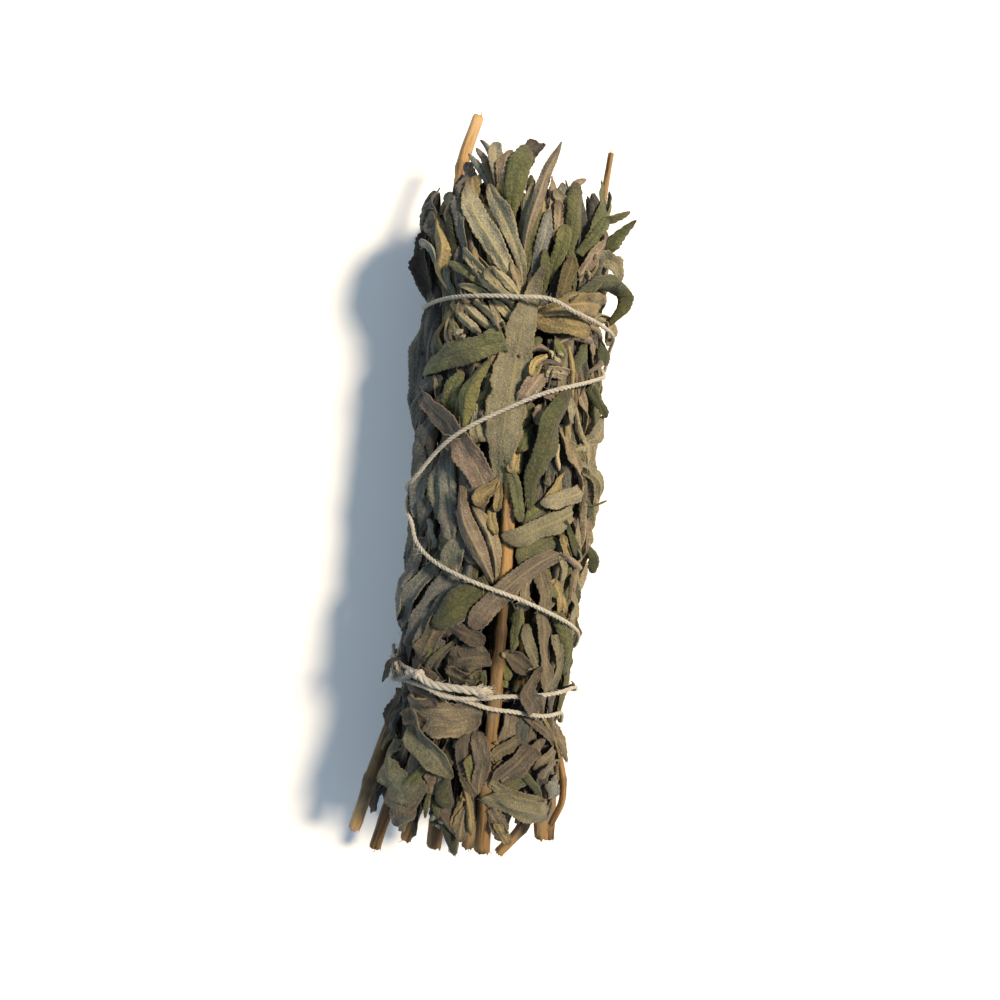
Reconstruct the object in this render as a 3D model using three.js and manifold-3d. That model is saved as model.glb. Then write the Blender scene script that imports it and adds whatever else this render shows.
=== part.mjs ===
// Sage bunch: a hand-long bundle of dried sage sprigs, lying flat, bound with cotton twine.
// Millimetres, +Z up. The bundle lies along Y: cut stem ends towards -Y, leaf tips towards +Y.
// Stems run through the middle, leaves lie over them in layers, and the twine lies over the leaves.
import * as THREE from "three";
import { mergeVertices } from "three/addons/utils/BufferGeometryUtils.js";
import Module from "manifold-3d";

const wasm = await Module();
wasm.setup();

// ---- driving dimensions --------------------------------------------------------------------

const CORE_HALF_WIDTH = 14.4; // of the bundle of stems, inside the leaves
const CORE_HALF_HEIGHT = 10.6;
const MID_HEIGHT = 16; // of the bundle's middle over the surface it lies on
const UNDERSIDE_POWER = 4; // the underside is pressed flat: a superellipse of this power
const BOW = 2.4; // sideways bow of the bundle's middle line
const BOW_REACH = 62; // distance from the middle at which the bow is that large
const FIRST_LAYER = 1.0; // lift of the lowest leaves over the core
const LEAF_THICKNESS = 0.7;
const LEAF_GAP = 0.4; // clearance between a leaf and what it lies on
const STATION_STEP = 3.6; // between the cross-sections of a leaf
const TWINE_RADIUS = 0.48;
const TWINE_STEP = 3; // between the cross-sections of the twine, three diameters
const STEM_STEP = 7;

// The layout sheet: a grid of 0.2 mm squares held flat at mid-height, turned by LEAN_DEG against
// the bundle's length. Its marks are carried onto the bundle along lines that meet at a point
// EYE_HEIGHT above the sheet's centre.
const SHEET_STEP = 0.2;
const SHEET_CENTRE = 500;
const LEAN_DEG = 5.5;
const EYE_HEIGHT = 140;

// ---- the bundle's form ---------------------------------------------------------------------

const bell = (y, centre, reach) => Math.exp(-(((y - centre) / reach) ** 2));
const clamp = (value, low, high) => Math.min(high, Math.max(low, value));
const smooth = (value) => {
  const t = clamp(value, 0, 1);
  return t * t * (3 - 2 * t);
};

function middleX(y) {
  return 0.5 - BOW * (y / BOW_REACH) ** 2;
}

// Girth against the nominal one: nipped by the twine at both ties, narrower at the leaf tips.
function girth(y) {
  const tie = 0.1 * bell(y, -40, 10);
  const ring = 0.07 * bell(y, 36, 7);
  const shoulder = 0.06 * bell(y, 52, 10);
  const tips = 0.3 * smooth((y - 58) / 22);
  const foot = 0.05 * bell(y, -62, 8);
  return 1 - tie - ring + shoulder - tips + foot;
}

function roundness(angle) {
  const power = Math.sin(angle) < 0 ? UNDERSIDE_POWER : 2;
  const sum = Math.abs(Math.cos(angle)) ** power + Math.abs(Math.sin(angle)) ** power;
  return sum ** (-1 / power);
}

// A point at an angle round the bundle (90 degrees is its top), at y, lifted over the core.
function onBundle(angle, y, lift) {
  const r = roundness(angle);
  const g = girth(y);
  return new THREE.Vector3(
    middleX(y) + (g * CORE_HALF_WIDTH + lift) * r * Math.cos(angle),
    y,
    MID_HEIGHT + (g * CORE_HALF_HEIGHT + lift) * r * Math.sin(angle),
  );
}

// The angle and lift of a point in space.
function bundlePlace(point) {
  const g = girth(point.y);
  const dx = point.x - middleX(point.y);
  const dz = point.z - MID_HEIGHT;
  const power = dz < 0 ? UNDERSIDE_POWER : 2;
  let low = 0.5 - g * CORE_HALF_HEIGHT;
  let high = 20;
  for (let i = 0; i < 30; i += 1) {
    const lift = (low + high) / 2;
    const across = Math.abs(dx) / (g * CORE_HALF_WIDTH + lift);
    const up = Math.abs(dz) / (g * CORE_HALF_HEIGHT + lift);
    if (across ** power + up ** power > 1) low = lift;
    else high = lift;
  }
  const angle = Math.atan2(dz / (g * CORE_HALF_HEIGHT + low), dx / (g * CORE_HALF_WIDTH + low));
  return { angle, lift: low };
}

const lean = THREE.MathUtils.degToRad(LEAN_DEG);

// A mark on the layout sheet as a point at the given height over the bundle's middle.
function sheetPoint(u, v, rise) {
  const across = (u - SHEET_CENTRE) * SHEET_STEP;
  const along = (SHEET_CENTRE - v) * SHEET_STEP;
  const shrink = 1 - rise / EYE_HEIGHT;
  return new THREE.Vector3(
    (across * Math.cos(lean) - along * Math.sin(lean)) * shrink,
    (across * Math.sin(lean) + along * Math.cos(lean)) * shrink,
    MID_HEIGHT + rise,
  );
}

// A mark on the layout sheet carried onto the bundle: its angle and y.
function sheetOnBundle([u, v], lift = 3.5) {
  let rise = CORE_HALF_HEIGHT;
  let side = 0;
  let point = null;
  for (let i = 0; i < 12; i += 1) {
    point = sheetPoint(u, v, rise);
    const g = girth(point.y);
    side = clamp((point.x - middleX(point.y)) / (g * CORE_HALF_WIDTH + lift), -0.995, 0.995);
    rise = (rise + (g * CORE_HALF_HEIGHT + lift) * Math.sqrt(1 - side * side)) / 2;
  }
  return [Math.acos(side), point.y];
}

// ---- the lift map: how high the layers laid so far reach, over angle and y ------------------

const MAP_TURN = 360;
const MAP_START = -84;
const MAP_CELL = 0.5;
const MAP_ROWS = 340;
const METRIC_RADIUS = 16.5; // mm of girth to one radian
const liftMap = new Float64Array(MAP_TURN * MAP_ROWS).fill(FIRST_LAYER);

function mapCell(angle, y) {
  const turn = Math.round(THREE.MathUtils.radToDeg(angle));
  const column = ((turn % MAP_TURN) + MAP_TURN) % MAP_TURN;
  const row = clamp(Math.round((y - MAP_START) / MAP_CELL), 1, MAP_ROWS - 2);
  return [column, row];
}

function liftAt(angle, y) {
  const [column, row] = mapCell(angle, y);
  return liftMap[row * MAP_TURN + column];
}

function raiseMap(angle, y, lift) {
  const [column, row] = mapCell(angle, y);
  for (let i = -1; i <= 1; i += 1) {
    for (let j = -1; j <= 1; j += 1) {
      const cell = (row + i) * MAP_TURN + ((column + j + MAP_TURN) % MAP_TURN);
      liftMap[cell] = Math.max(liftMap[cell], lift);
    }
  }
}

// The highest value within reach of each entry, then the mean: a stiff strip over a rough bed.
function bridge(values, reach) {
  const around = (list, i) => list.slice(Math.max(0, i - reach), i + reach + 1);
  const tops = values.map((_, i) => Math.max(...around(values, i)));
  return tops.map((_, i) => {
    const near = around(tops, i);
    return near.reduce((sum, value) => sum + value, 0) / near.length;
  });
}

// ---- meshes --------------------------------------------------------------------------------

function closedGeometry(points, faces) {
  const geometry = new THREE.BufferGeometry();
  geometry.setAttribute("position", new THREE.Float32BufferAttribute(points.flat(), 3));
  geometry.setIndex(faces.flat());
  geometry.computeVertexNormals();
  return geometry;
}

function toSolid(geometry) {
  const bare = geometry.clone();
  bare.deleteAttribute("normal");
  bare.deleteAttribute("uv");
  const merged = mergeVertices(bare, 1e-4);
  return new wasm.Manifold(new wasm.Mesh({
    numProp: 3,
    vertProperties: new Float32Array(merged.attributes.position.array),
    triVerts: new Uint32Array(merged.index.array),
  }));
}

function fromSolid(solid) {
  const mesh = solid.getMesh();
  const geometry = new THREE.BufferGeometry();
  geometry.setAttribute("position", new THREE.BufferAttribute(mesh.vertProperties, 3));
  geometry.setIndex(new THREE.BufferAttribute(mesh.triVerts, 1));
  geometry.computeVertexNormals();
  return geometry;
}

// A closed strip from rows of lower points and rows of upper points, all rows the same length.
function stripGeometry(lower, upper) {
  const columns = lower[0].length;
  const points = [];
  const faces = [];
  lower.forEach((row, i) => {
    row.forEach((p) => points.push([p.x, p.y, p.z]));
    upper[i].forEach((p) => points.push([p.x, p.y, p.z]));
  });
  const low = (i, k) => i * 2 * columns + k;
  const high = (i, k) => low(i, k) + columns;
  const quad = (a, b, c, d) => faces.push([a, b, c], [a, c, d]);
  for (let i = 0; i + 1 < lower.length; i += 1) {
    for (let k = 0; k + 1 < columns; k += 1) {
      quad(high(i, k), high(i + 1, k), high(i + 1, k + 1), high(i, k + 1));
      quad(low(i, k), low(i, k + 1), low(i + 1, k + 1), low(i + 1, k));
    }
    quad(low(i, 0), low(i + 1, 0), high(i + 1, 0), high(i, 0));
    const k = columns - 1;
    quad(low(i, k), high(i, k), high(i + 1, k), low(i + 1, k));
  }
  const end = lower.length - 1;
  for (let k = 0; k + 1 < columns; k += 1) {
    quad(low(0, k), high(0, k), high(0, k + 1), low(0, k + 1));
    quad(low(end, k), low(end, k + 1), high(end, k + 1), high(end, k));
  }
  return closedGeometry(points, faces);
}

function regularSection(radius, sides) {
  const shape = new THREE.Shape();
  for (let i = 0; i < sides; i += 1) {
    const turn = ((i + 0.5) * 2 * Math.PI) / sides;
    const x = radius * Math.cos(turn);
    const y = radius * Math.sin(turn);
    if (i === 0) shape.moveTo(x, y);
    else shape.lineTo(x, y);
  }
  shape.closePath();
  return shape;
}

function rod(points, radius, step) {
  const path = new THREE.CatmullRomCurve3(points, false, "centripetal");
  const steps = Math.max(2, Math.round(path.getLength() / step));
  const section = regularSection(radius, 8);
  return new THREE.ExtrudeGeometry(section, { extrudePath: path, steps, bevelEnabled: false });
}

// ---- stems ---------------------------------------------------------------------------------

// Route points are [sheet u, sheet v, rise over mid-height].
const STEMS = [
  { name: "stem_main", radius: 1.35, route: [
    [482, 850, 9.6], [487, 780, 10.2], [495, 700, 10.4], [503, 600, 11.2], [510, 480, 11.6],
    [516, 420, 10], [526, 340, 7], [532, 280, 5]] },
  { name: "stem_left_splayed", radius: 1.3, route: [
    [355, 826, -2], [385, 740, 0], [408, 690, 0], [428, 640, 0], [440, 560, 0], [450, 480, 0],
    [456, 400, 1]] },
  { name: "stem_left_low", radius: 1.3, route: [
    [375, 846, -7.5], [394, 790, -7], [414, 730, -6.2], [434, 670, -6], [450, 590, -7],
    [462, 500, -7.5], [470, 420, -7]] },
  { name: "stem_left_inner", radius: 1.15, route: [
    [406, 838, 3], [430, 770, 4], [446, 700, 5], [460, 620, 6], [468, 540, 6.5], [474, 450, 7]] },
  { name: "stem_dark", radius: 1.5, route: [
    [434, 845, -3.5], [442, 780, -2.5], [456, 700, -1.5], [470, 620, -1.5], [484, 520, -1],
    [492, 420, 0], [496, 330, 0]] },
  { name: "stem_pale_end", radius: 0.9, route: [
    [453, 851, 4.5], [460, 780, 6], [470, 700, 6.5], [480, 620, 7], [486, 540, 5], [490, 470, 4]] },
  { name: "stem_under_middle", radius: 1.3, route: [
    [468, 846, -8.2], [476, 780, -8.2], [484, 700, -7.6], [492, 600, -8.2], [500, 500, -8.6],
    [508, 400, -8.2]] },
  { name: "stem_slanted", radius: 0.95, route: [
    [499, 852, -1], [526, 822, 0], [536, 790, -0.5], [534, 740, -1.5], [524, 690, -1.6]] },
  { name: "stem_right_pair_upper", radius: 1.3, route: [
    [541, 836, 3.5], [538, 780, 4.5], [528, 720, 5], [522, 650, 5.5], [528, 560, 6.5],
    [534, 470, 6.5], [542, 380, 6]] },
  { name: "stem_right_pair_lower", radius: 1.2, route: [
    [548, 838, -3.5], [550, 790, -4.5], [542, 740, -5.5], [532, 690, -5.6], [534, 600, -7],
    [544, 500, -7], [554, 400, -6.5]] },
  { name: "stem_bent_twig", radius: 0.65, route: [
    [551, 824, 1], [562, 800, 2], [562, 772, 2], [554, 740, 1], [543, 700, 0.5], [546, 640, 0.5],
    [556, 570, 1]] },
  { name: "stem_tip_pale", radius: 1.15, route: [
    [478, 118, 0], [463, 163, 1], [458, 210, 2], [462, 260, 3], [466, 320, 3], [470, 390, 3]] },
  { name: "stem_tip_thin", radius: 0.6, route: [
    [611, 154, -1], [605, 190, -1], [600, 230, -1], [590, 290, -1], [578, 350, 0], [572, 420, 0],
    [568, 500, 0]] },
];

function raiseMapAlongRod(points, radius) {
  const path = new THREE.CatmullRomCurve3(points, false, "centripetal");
  const count = Math.ceil(path.getLength() / MAP_CELL);
  const edge = new THREE.Vector3();
  path.getSpacedPoints(count).forEach((centre) => {
    for (let k = 0; k < 24; k += 1) {
      const turn = (k * 2 * Math.PI) / 24;
      edge.set(centre.x + radius * Math.cos(turn), centre.y, centre.z + radius * Math.sin(turn));
      const place = bundlePlace(edge);
      raiseMap(place.angle, centre.y, place.lift);
    }
  });
}

function stemMesh({ name, radius, route }) {
  const points = route.map(([u, v, rise]) => sheetPoint(u, v, rise));
  raiseMapAlongRod(points, radius);
  return piece(name, rod(points, radius, STEM_STEP), LOOKS.stem);
}

// ---- leaves --------------------------------------------------------------------------------

// Width of a leaf along its length: a narrow foot, widest two fifths along, a blunt tip.
function bladeOutline(t) {
  const foot = 0.18 + 0.82 * smooth(t / WIDEST_AT);
  const tip = clamp((t - WIDEST_AT) / (1.02 - WIDEST_AT), 0, 1);
  return foot * Math.sqrt(1 - tip * tip);
}

// Fine stations along a blade: place, sideways direction, half width.
function bladeStations(route, width) {
  const metric = route.map(([angle, y]) => new THREE.Vector3(angle * METRIC_RADIUS, y, 0));
  const path = new THREE.CatmullRomCurve3(metric, false, "centripetal");
  const rows = Math.max(4, Math.round(path.getLength() / STATION_STEP));
  const count = rows * FINE;
  const stations = [];
  for (let i = 0; i <= count; i += 1) {
    const t = i / count;
    const at = path.getPointAt(t);
    const along = path.getTangentAt(t);
    stations.push({
      t, angle: at.x / METRIC_RADIUS, y: at.y,
      sideAngle: along.y / METRIC_RADIUS, sideY: -along.x, half: (width / 2) * bladeOutline(t),
    });
  }
  return { stations, length: path.getLength() };
}

const WIDEST_AT = 0.4; // of a leaf's length
const FINE = 4; // fine stations to one modelled cross-section
const FOOT_SLOPE = 0.4; // fall of a tuft's blades from their shared foot
const BLADE_STAGGER = 0.2; // lift of each blade of a tuft over the one before
const LATERALS = [-1, -0.75, -0.5, -0.25, 0, 0.25, 0.5, 0.75, 1];
const camberAt = (blade, s) => blade.camber * (1 - s * s);

// The lift that each fine station of a blade needs to clear what lies under it.
function neededLift(blade) {
  return blade.stations.map((station) => Math.max(...LATERALS.map((s) => {
    const off = s * station.half;
    const under = liftAt(station.angle + off * station.sideAngle, station.y + off * station.sideY);
    return under + LEAF_GAP - camberAt(blade, s);
  })));
}

function bladeSurface(blade, extra, laterals, every) {
  const rows = [];
  for (let i = 0; i < blade.stations.length; i += every) {
    const { t, angle, y, sideAngle, sideY, half } = blade.stations[i];
    const curl = blade.tipLift * smooth((t - 0.62) / 0.38) * blade.length * 0.12;
    rows.push(laterals.map((s) => onBundle(
      angle + s * half * sideAngle,
      y + s * half * sideY,
      blade.lift[i] + camberAt(blade, s) + curl + extra,
    )));
  }
  return rows;
}

function raiseMapUnderBlade(blade) {
  blade.stations.forEach(({ angle, y, sideAngle, sideY, half, t }, i) => {
    const curl = blade.tipLift * smooth((t - 0.62) / 0.38) * blade.length * 0.12;
    LATERALS.forEach((s) => raiseMap(
      angle + s * half * sideAngle,
      y + s * half * sideY,
      blade.lift[i] + camberAt(blade, s) + curl + LEAF_THICKNESS,
    ));
  });
}

// A leaf node: one blade, or several that grow from one foot and are joined there.
function leafMesh({ name, look, blades, width, camber = 0.5, tipLift = 0 }) {
  const laid = blades.map((route) => ({ ...bladeStations(route, width), camber, tipLift }));
  laid.forEach((blade) => {
    blade.lift = bridge(neededLift(blade), FINE);
  });
  const footLift = Math.max(...laid.map((blade) => blade.lift[0]));
  laid.forEach((blade, n) => {
    blade.lift = blade.lift.map((lift, i) => {
      const fall = FOOT_SLOPE * blade.stations[i].t * blade.length;
      const level = Math.max(lift, footLift - fall);
      return laid.length > 1 ? level + n * BLADE_STAGGER : lift;
    });
  });
  const solids = laid.map((blade) => stripGeometry(
    bladeSurface(blade, 0, [-1, 0, 1], FINE),
    bladeSurface(blade, LEAF_THICKNESS, [-1, 0, 1], FINE),
  ));
  laid.forEach(raiseMapUnderBlade);
  if (solids.length === 1) return piece(name, solids[0], look);
  const joined = solids.map(toSolid).reduce((sum, solid) => sum.add(solid));
  return piece(name, fromSolid(joined), look);
}

const onSheet = (...marks) => marks.map((mark) => sheetOnBundle(mark));
const round = (...places) => places.map(([degrees, y]) => [THREE.MathUtils.degToRad(degrees), y]);

// Blades that fan out from one foot on the bundle's side or back: [degrees, y] of the foot and
// of each tip, with the blade bowed a little sideways.
function fan(foot, tips) {
  return tips.map((tip, i) => {
    const bow = i % 2 ? 3 : -3;
    const middle = [(foot[0] + tip[0]) / 2 + bow, (foot[1] + tip[1]) / 2];
    return round(foot, middle, tip);
  });
}

const LOOKS = {
  stem: { color: 0x9c6a3c, roughness: 0.8 },
  pale: { color: 0xa39a78, roughness: 0.95 },
  green: { color: 0x6f7048, roughness: 0.9 },
  grey: { color: 0x6c7068, roughness: 0.95 },
  brown: { color: 0x8b7558, roughness: 0.95 },
  ochre: { color: 0x9a8248, roughness: 0.9 },
  twine: { color: 0xd8c9a8, roughness: 0.9 },
};

const UNDERSIDE_LEAVES = [
  { name: "tuft_under_foot_left", look: LOOKS.grey, width: 4.6,
    blades: fan([228, -70], [[204, -46], [234, -40], [262, -47]]) },
  { name: "tuft_under_foot_right", look: LOOKS.brown, width: 4.6,
    blades: fan([290, -72], [[266, -49], [294, -42], [322, -50]]) },
  { name: "tuft_under_middle_left", look: LOOKS.pale, width: 4.8,
    blades: fan([250, -38], [[220, -12], [250, -5], [284, -14]]) },
  { name: "tuft_under_middle_right", look: LOOKS.green, width: 4.4,
    blades: fan([312, -45], [[292, -17], [318, -10], [344, -20]]) },
  { name: "tuft_under_upper_left", look: LOOKS.grey, width: 4.6,
    blades: fan([224, -9], [[200, 20], [230, 26], [258, 16]]) },
  { name: "tuft_under_upper_right", look: LOOKS.brown, width: 4.6,
    blades: fan([286, -12], [[262, 18], [290, 24], [318, 15]]) },
  { name: "tuft_under_tips_left", look: LOOKS.pale, width: 4.4,
    blades: fan([246, 28], [[214, 56], [242, 66], [270, 57]]) },
  { name: "tuft_under_tips_right", look: LOOKS.green, width: 4.4,
    blades: fan([308, 24], [[282, 54], [306, 62], [338, 52]]) },
  { name: "tuft_left_flank_foot", look: LOOKS.grey, width: 4.2,
    blades: fan([188, -66], [[170, -42], [200, -40]]) },
  { name: "tuft_left_flank", look: LOOKS.grey, width: 4.4,
    blades: fan([190, -14], [[172, 16], [202, 18]]) },
  { name: "tuft_right_flank_foot", look: LOOKS.brown, width: 4.2,
    blades: fan([352, -66], [[338, -42], [364, -40]]) },
  { name: "tuft_right_flank", look: LOOKS.ochre, width: 4.4,
    blades: fan([352, -30], [[338, -2], [368, -4]]) },
  { name: "tuft_right_shoulder", look: LOOKS.green, width: 4.4,
    blades: fan([352, 6], [[336, 34], [358, 38], [378, 26]]) },
];

const TOP_LEAVES = [
  { name: "leaf_left_edge", look: LOOKS.grey, width: 3.4,
    blades: [onSheet([421, 324], [411, 360], [408, 400], [412, 440])] },
  { name: "tuft_left_lower", look: LOOKS.grey, width: 4.2, blades: [
    onSheet([446, 540], [424, 590], [408, 640]), onSheet([446, 540], [445, 600], [424, 655])] },
  { name: "leaf_left_upper_dark", look: LOOKS.grey, width: 4.6,
    blades: [onSheet([424, 308], [413, 275], [417, 240], [430, 212])] },
  { name: "leaf_folded_edge", look: LOOKS.ochre, width: 3.0,
    blades: [onSheet([450, 300], [443, 275], [444, 245], [439, 218])] },
  { name: "leaf_tan_strip", look: LOOKS.brown, width: 3.2,
    blades: [onSheet([545, 575], [548, 640], [548, 712])] },
  { name: "leaf_right_green", look: LOOKS.green, width: 4.2,
    blades: [onSheet([568, 625], [566, 670], [560, 712])] },
  { name: "leaf_grey_green", look: LOOKS.grey, width: 4.2,
    blades: [onSheet([440, 440], [438, 470], [443, 500], [455, 543])] },
  { name: "leaf_folded_brown", look: LOOKS.brown, width: 5.4,
    blades: [onSheet([494, 585], [480, 545], [462, 495])] },
  { name: "leaf_dark_green", look: LOOKS.green, width: 5.0,
    blades: [onSheet([533, 512], [532, 480], [545, 445], [553, 415], [568, 392])] },
  { name: "tuft_ochre_shoulder", look: LOOKS.ochre, width: 4.6, blades: [
    onSheet([540, 310], [562, 321], [584, 329]), onSheet([540, 310], [575, 302], [608, 308])] },
  { name: "leaf_wrinkled", look: LOOKS.brown, width: 5.4,
    blades: [onSheet([444, 660], [466, 655], [489, 655])] },
  { name: "leaf_green_low", look: LOOKS.green, width: 5.0,
    blades: [onSheet([485, 590], [462, 605], [440, 627])] },
  { name: "leaf_purple", look: LOOKS.brown, width: 4.4,
    blades: [onSheet([487, 490], [470, 455], [450, 425], [425, 391])] },
  { name: "leaf_big_pale", look: LOOKS.pale, width: 6.4,
    blades: [onSheet([499, 478], [503, 430], [512, 380], [517, 335], [530, 303])] },
  { name: "leaf_green_cross", look: LOOKS.green, width: 5.0,
    blades: [onSheet([506, 338], [480, 347], [450, 360], [424, 373])] },
  { name: "leaf_pale_middle", look: LOOKS.pale, width: 4.0,
    blades: [onSheet([570, 516], [535, 530], [508, 542])] },
  { name: "leaf_long_cross", look: LOOKS.brown, width: 3.8,
    blades: [onSheet([558, 555], [510, 600], [472, 628])] },
  { name: "leaf_right_edge", look: LOOKS.pale, width: 3.0,
    blades: [onSheet([585, 462], [594, 435], [603, 412])] },
  { name: "tuft_tips_fan", look: LOOKS.pale, width: 2.6, tipLift: 0.3, blades: [
    onSheet([520, 303], [488, 284], [455, 262]), onSheet([520, 303], [498, 290], [476, 270])] },
  { name: "leaf_top_green", look: LOOKS.green, width: 4.2,
    blades: [onSheet([512, 222], [517, 190], [523, 165], [531, 140])] },
  { name: "leaf_top_pale", look: LOOKS.pale, width: 5.4,
    blades: [onSheet([525, 297], [505, 255], [485, 215], [468, 187])] },
  { name: "tuft_top_narrow", look: LOOKS.brown, width: 2.6, blades: [
    onSheet([534, 270], [541, 240], [549, 210], [552, 182]),
    onSheet([534, 270], [530, 225], [545, 185], [563, 141])] },
  { name: "leaf_top_olive", look: LOOKS.green, width: 4.4,
    blades: [onSheet([580, 290], [575, 255], [570, 220], [572, 187])] },
  { name: "tuft_top_right", look: LOOKS.green, width: 3.4, tipLift: 0.4, blades: [
    onSheet([584, 262], [590, 235], [600, 210], [615, 190]),
    onSheet([584, 262], [600, 238], [613, 222], [627, 212])] },
  { name: "leaf_hook", look: LOOKS.green, width: 2.2, tipLift: 0.5,
    blades: [onSheet([577, 300], [595, 287], [616, 288], [624, 304], [618, 322])] },
  { name: "leaf_broad_low", look: LOOKS.brown, width: 6.4,
    blades: [onSheet([404, 702], [440, 712], [480, 716])] },
  { name: "leaf_curved_low", look: LOOKS.grey, width: 4.2,
    blades: [onSheet([413, 722], [430, 750], [453, 775])] },
  { name: "tuft_low_middle", look: LOOKS.brown, width: 2.8, blades: [
    onSheet([472, 797], [464, 765], [465, 734]), onSheet([472, 797], [482, 765], [479, 735])] },
  { name: "leaf_brown_low", look: LOOKS.brown, width: 3.6,
    blades: [onSheet([497, 785], [520, 757], [542, 733])] },
  { name: "leaf_foot_right", look: LOOKS.pale, width: 4.2,
    blades: [onSheet([493, 790], [518, 806], [546, 812])] },
  { name: "leaf_foot_left_cup", look: LOOKS.grey, width: 3.6,
    blades: [onSheet([390, 745], [384, 772], [402, 792], [426, 795])] },
];

const LEAVES_OVER_TWINE = [
  { name: "leaf_over_tie", look: LOOKS.brown, width: 3.6,
    blades: [onSheet([540, 668], [522, 690], [534, 714])] },
];

// ---- twine ---------------------------------------------------------------------------------

// The route, in order: round the tie at the cut end, up the bundle in a spiral, once round near
// the leaf tips, back down the other way and into the knot. Hidden strands are [degrees, y].
const TWINE_ROUTE = [
  ...onSheet([428, 686], [449, 692], [467, 698], [489, 707], [512, 711], [539, 715], [560, 713]),
  ...round([0, -44], [-30, -43], [-60, -42], [-90, -40], [-120, -38], [-150, -36], [-178, -34],
    [-194, -33.6]),
  ...onSheet([400, 677], [414, 680], [430, 686], [450, 692], [475, 695], [503, 696], [531, 694],
    [549, 691], [562, 685]).map(([angle, y]) => [angle - 2 * Math.PI, y]),
  ...round([-368, -37], [-392, -32], [-420, -25], [-450, -17.5], [-480, -10], [-510, -4],
    [-534, -0.6], [-546, 0.4]),
  ...onSheet([420, 479], [440, 455], [470, 428], [510, 408], [545, 393], [585, 382])
    .map(([angle, y]) => [angle - 4 * Math.PI, y]),
  ...round([-724, 27], [-752, 30], [-780, 33], [-810, 35], [-840, 36.5], [-870, 37], [-894, 37]),
  ...onSheet([430, 309], [450, 301], [480, 298], [515, 298], [545, 302], [575, 313], [592, 328])
    .map(([angle, y]) => [angle - 6 * Math.PI, y]),
  ...round([-1086, 33], [-1112, 27], [-1140, 19.5], [-1170, 12], [-1200, 5], [-1230, -0.6],
    [-1254, -3]),
  ...onSheet([412, 516], [419, 539], [431, 555], [467, 578], [521, 600], [560, 620])
    .map(([angle, y]) => [angle - 8 * Math.PI, y]),
  ...round([-1444, -27], [-1470, -29.5], [-1500, -31], [-1530, -31.5], [-1560, -31],
    [-1590, -30.5], [-1614, -30.5]),
  ...onSheet([400, 652], [408, 664], [416, 670]).map(([angle, y]) => [angle - 10 * Math.PI, y]),
];

const TWINE_FINE_STEP = 1; // spacing of the points at which the twine's lift is worked out
const CROSSING_CLEARANCE = 0.4;
const CROSSING_REACH = 2 * TWINE_RADIUS + 0.5;
const SAME_STRAND = 14; // strands nearer than this along the twine are the same stretch of it

function routeStations(route, step) {
  const metric = route.map(([angle, y]) => new THREE.Vector3(angle * METRIC_RADIUS, y, 0));
  const path = new THREE.CatmullRomCurve3(metric, false, "centripetal");
  const count = Math.round(path.getLength() / step);
  return path.getSpacedPoints(count).map((p) => ({ angle: p.x / METRIC_RADIUS, y: p.y }));
}

// Distance on the bundle's skin between two places, whole turns apart or not.
function skinDistance(a, b) {
  const turn = 2 * Math.PI;
  let across = (a.angle - b.angle) % turn;
  if (across > Math.PI) across -= turn;
  if (across < -Math.PI) across += turn;
  return Math.hypot(across * METRIC_RADIUS, a.y - b.y);
}

function cordLift(stations, radius) {
  const bed = stations.map(({ angle, y }) => {
    const reach = radius / METRIC_RADIUS;
    const under = [-reach, 0, reach].map((off) => Math.max(
      liftAt(angle + off, y - radius), liftAt(angle + off, y), liftAt(angle + off, y + radius)));
    return Math.max(...under) + radius + CROSSING_CLEARANCE;
  });
  return bridge(bed, 4);
}

// Each later strand that crosses an earlier one passes over it in a low hump.
function overCrossings(stations, lift) {
  let current = lift;
  for (let pass = 0; pass < 6; pass += 1) {
    const need = lift.map((own, i) => {
      let most = own;
      for (let j = 0; j < i - SAME_STRAND; j += 1) {
        if (skinDistance(stations[i], stations[j]) < CROSSING_REACH) {
          most = Math.max(most, current[j] + 2 * TWINE_RADIUS + CROSSING_CLEARANCE);
        }
      }
      return most;
    });
    current = bridge(need, 3);
  }
  return current;
}

function twineMeshes() {
  const stations = routeStations(TWINE_ROUTE, TWINE_FINE_STEP);
  const lift = overCrossings(stations, cordLift(stations, TWINE_RADIUS));
  const points = stations
    .map(({ angle, y }, i) => onBundle(angle, y, lift[i]))
    .filter((_, i) => i % (TWINE_STEP / TWINE_FINE_STEP) === 0);
  stations.forEach(({ angle, y }, i) => {
    [-TWINE_RADIUS, 0, TWINE_RADIUS].forEach((off) => {
      raiseMap(angle, y + off, lift[i] + TWINE_RADIUS);
    });
  });
  return [piece("twine_wrap", rod(points, TWINE_RADIUS, TWINE_STEP), LOOKS.twine)];
}

// The knot and the doubled end that lies beside it, flaring where it is frayed.
const TAIL_ROUTE = onSheet([414, 671], [422, 674], [440, 684], [467, 689], [484, 692], [493, 693]);
const TAIL_RADIUS = 0.9;
const TAIL_SECTIONS = [[0, 0.7], [0.1, 1.4], [0.2, 0.9], [0.45, 0.85], [0.8, 0.9], [1, 1.4]];

function tailRadius(t) {
  const next = TAIL_SECTIONS.findIndex(([at]) => at > t);
  if (next < 0) return TAIL_SECTIONS.at(-1)[1];
  const [t0, r0] = TAIL_SECTIONS[next - 1];
  const [t1, r1] = TAIL_SECTIONS[next];
  return THREE.MathUtils.lerp(r0, r1, smooth((t - t0) / (t1 - t0)));
}

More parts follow.
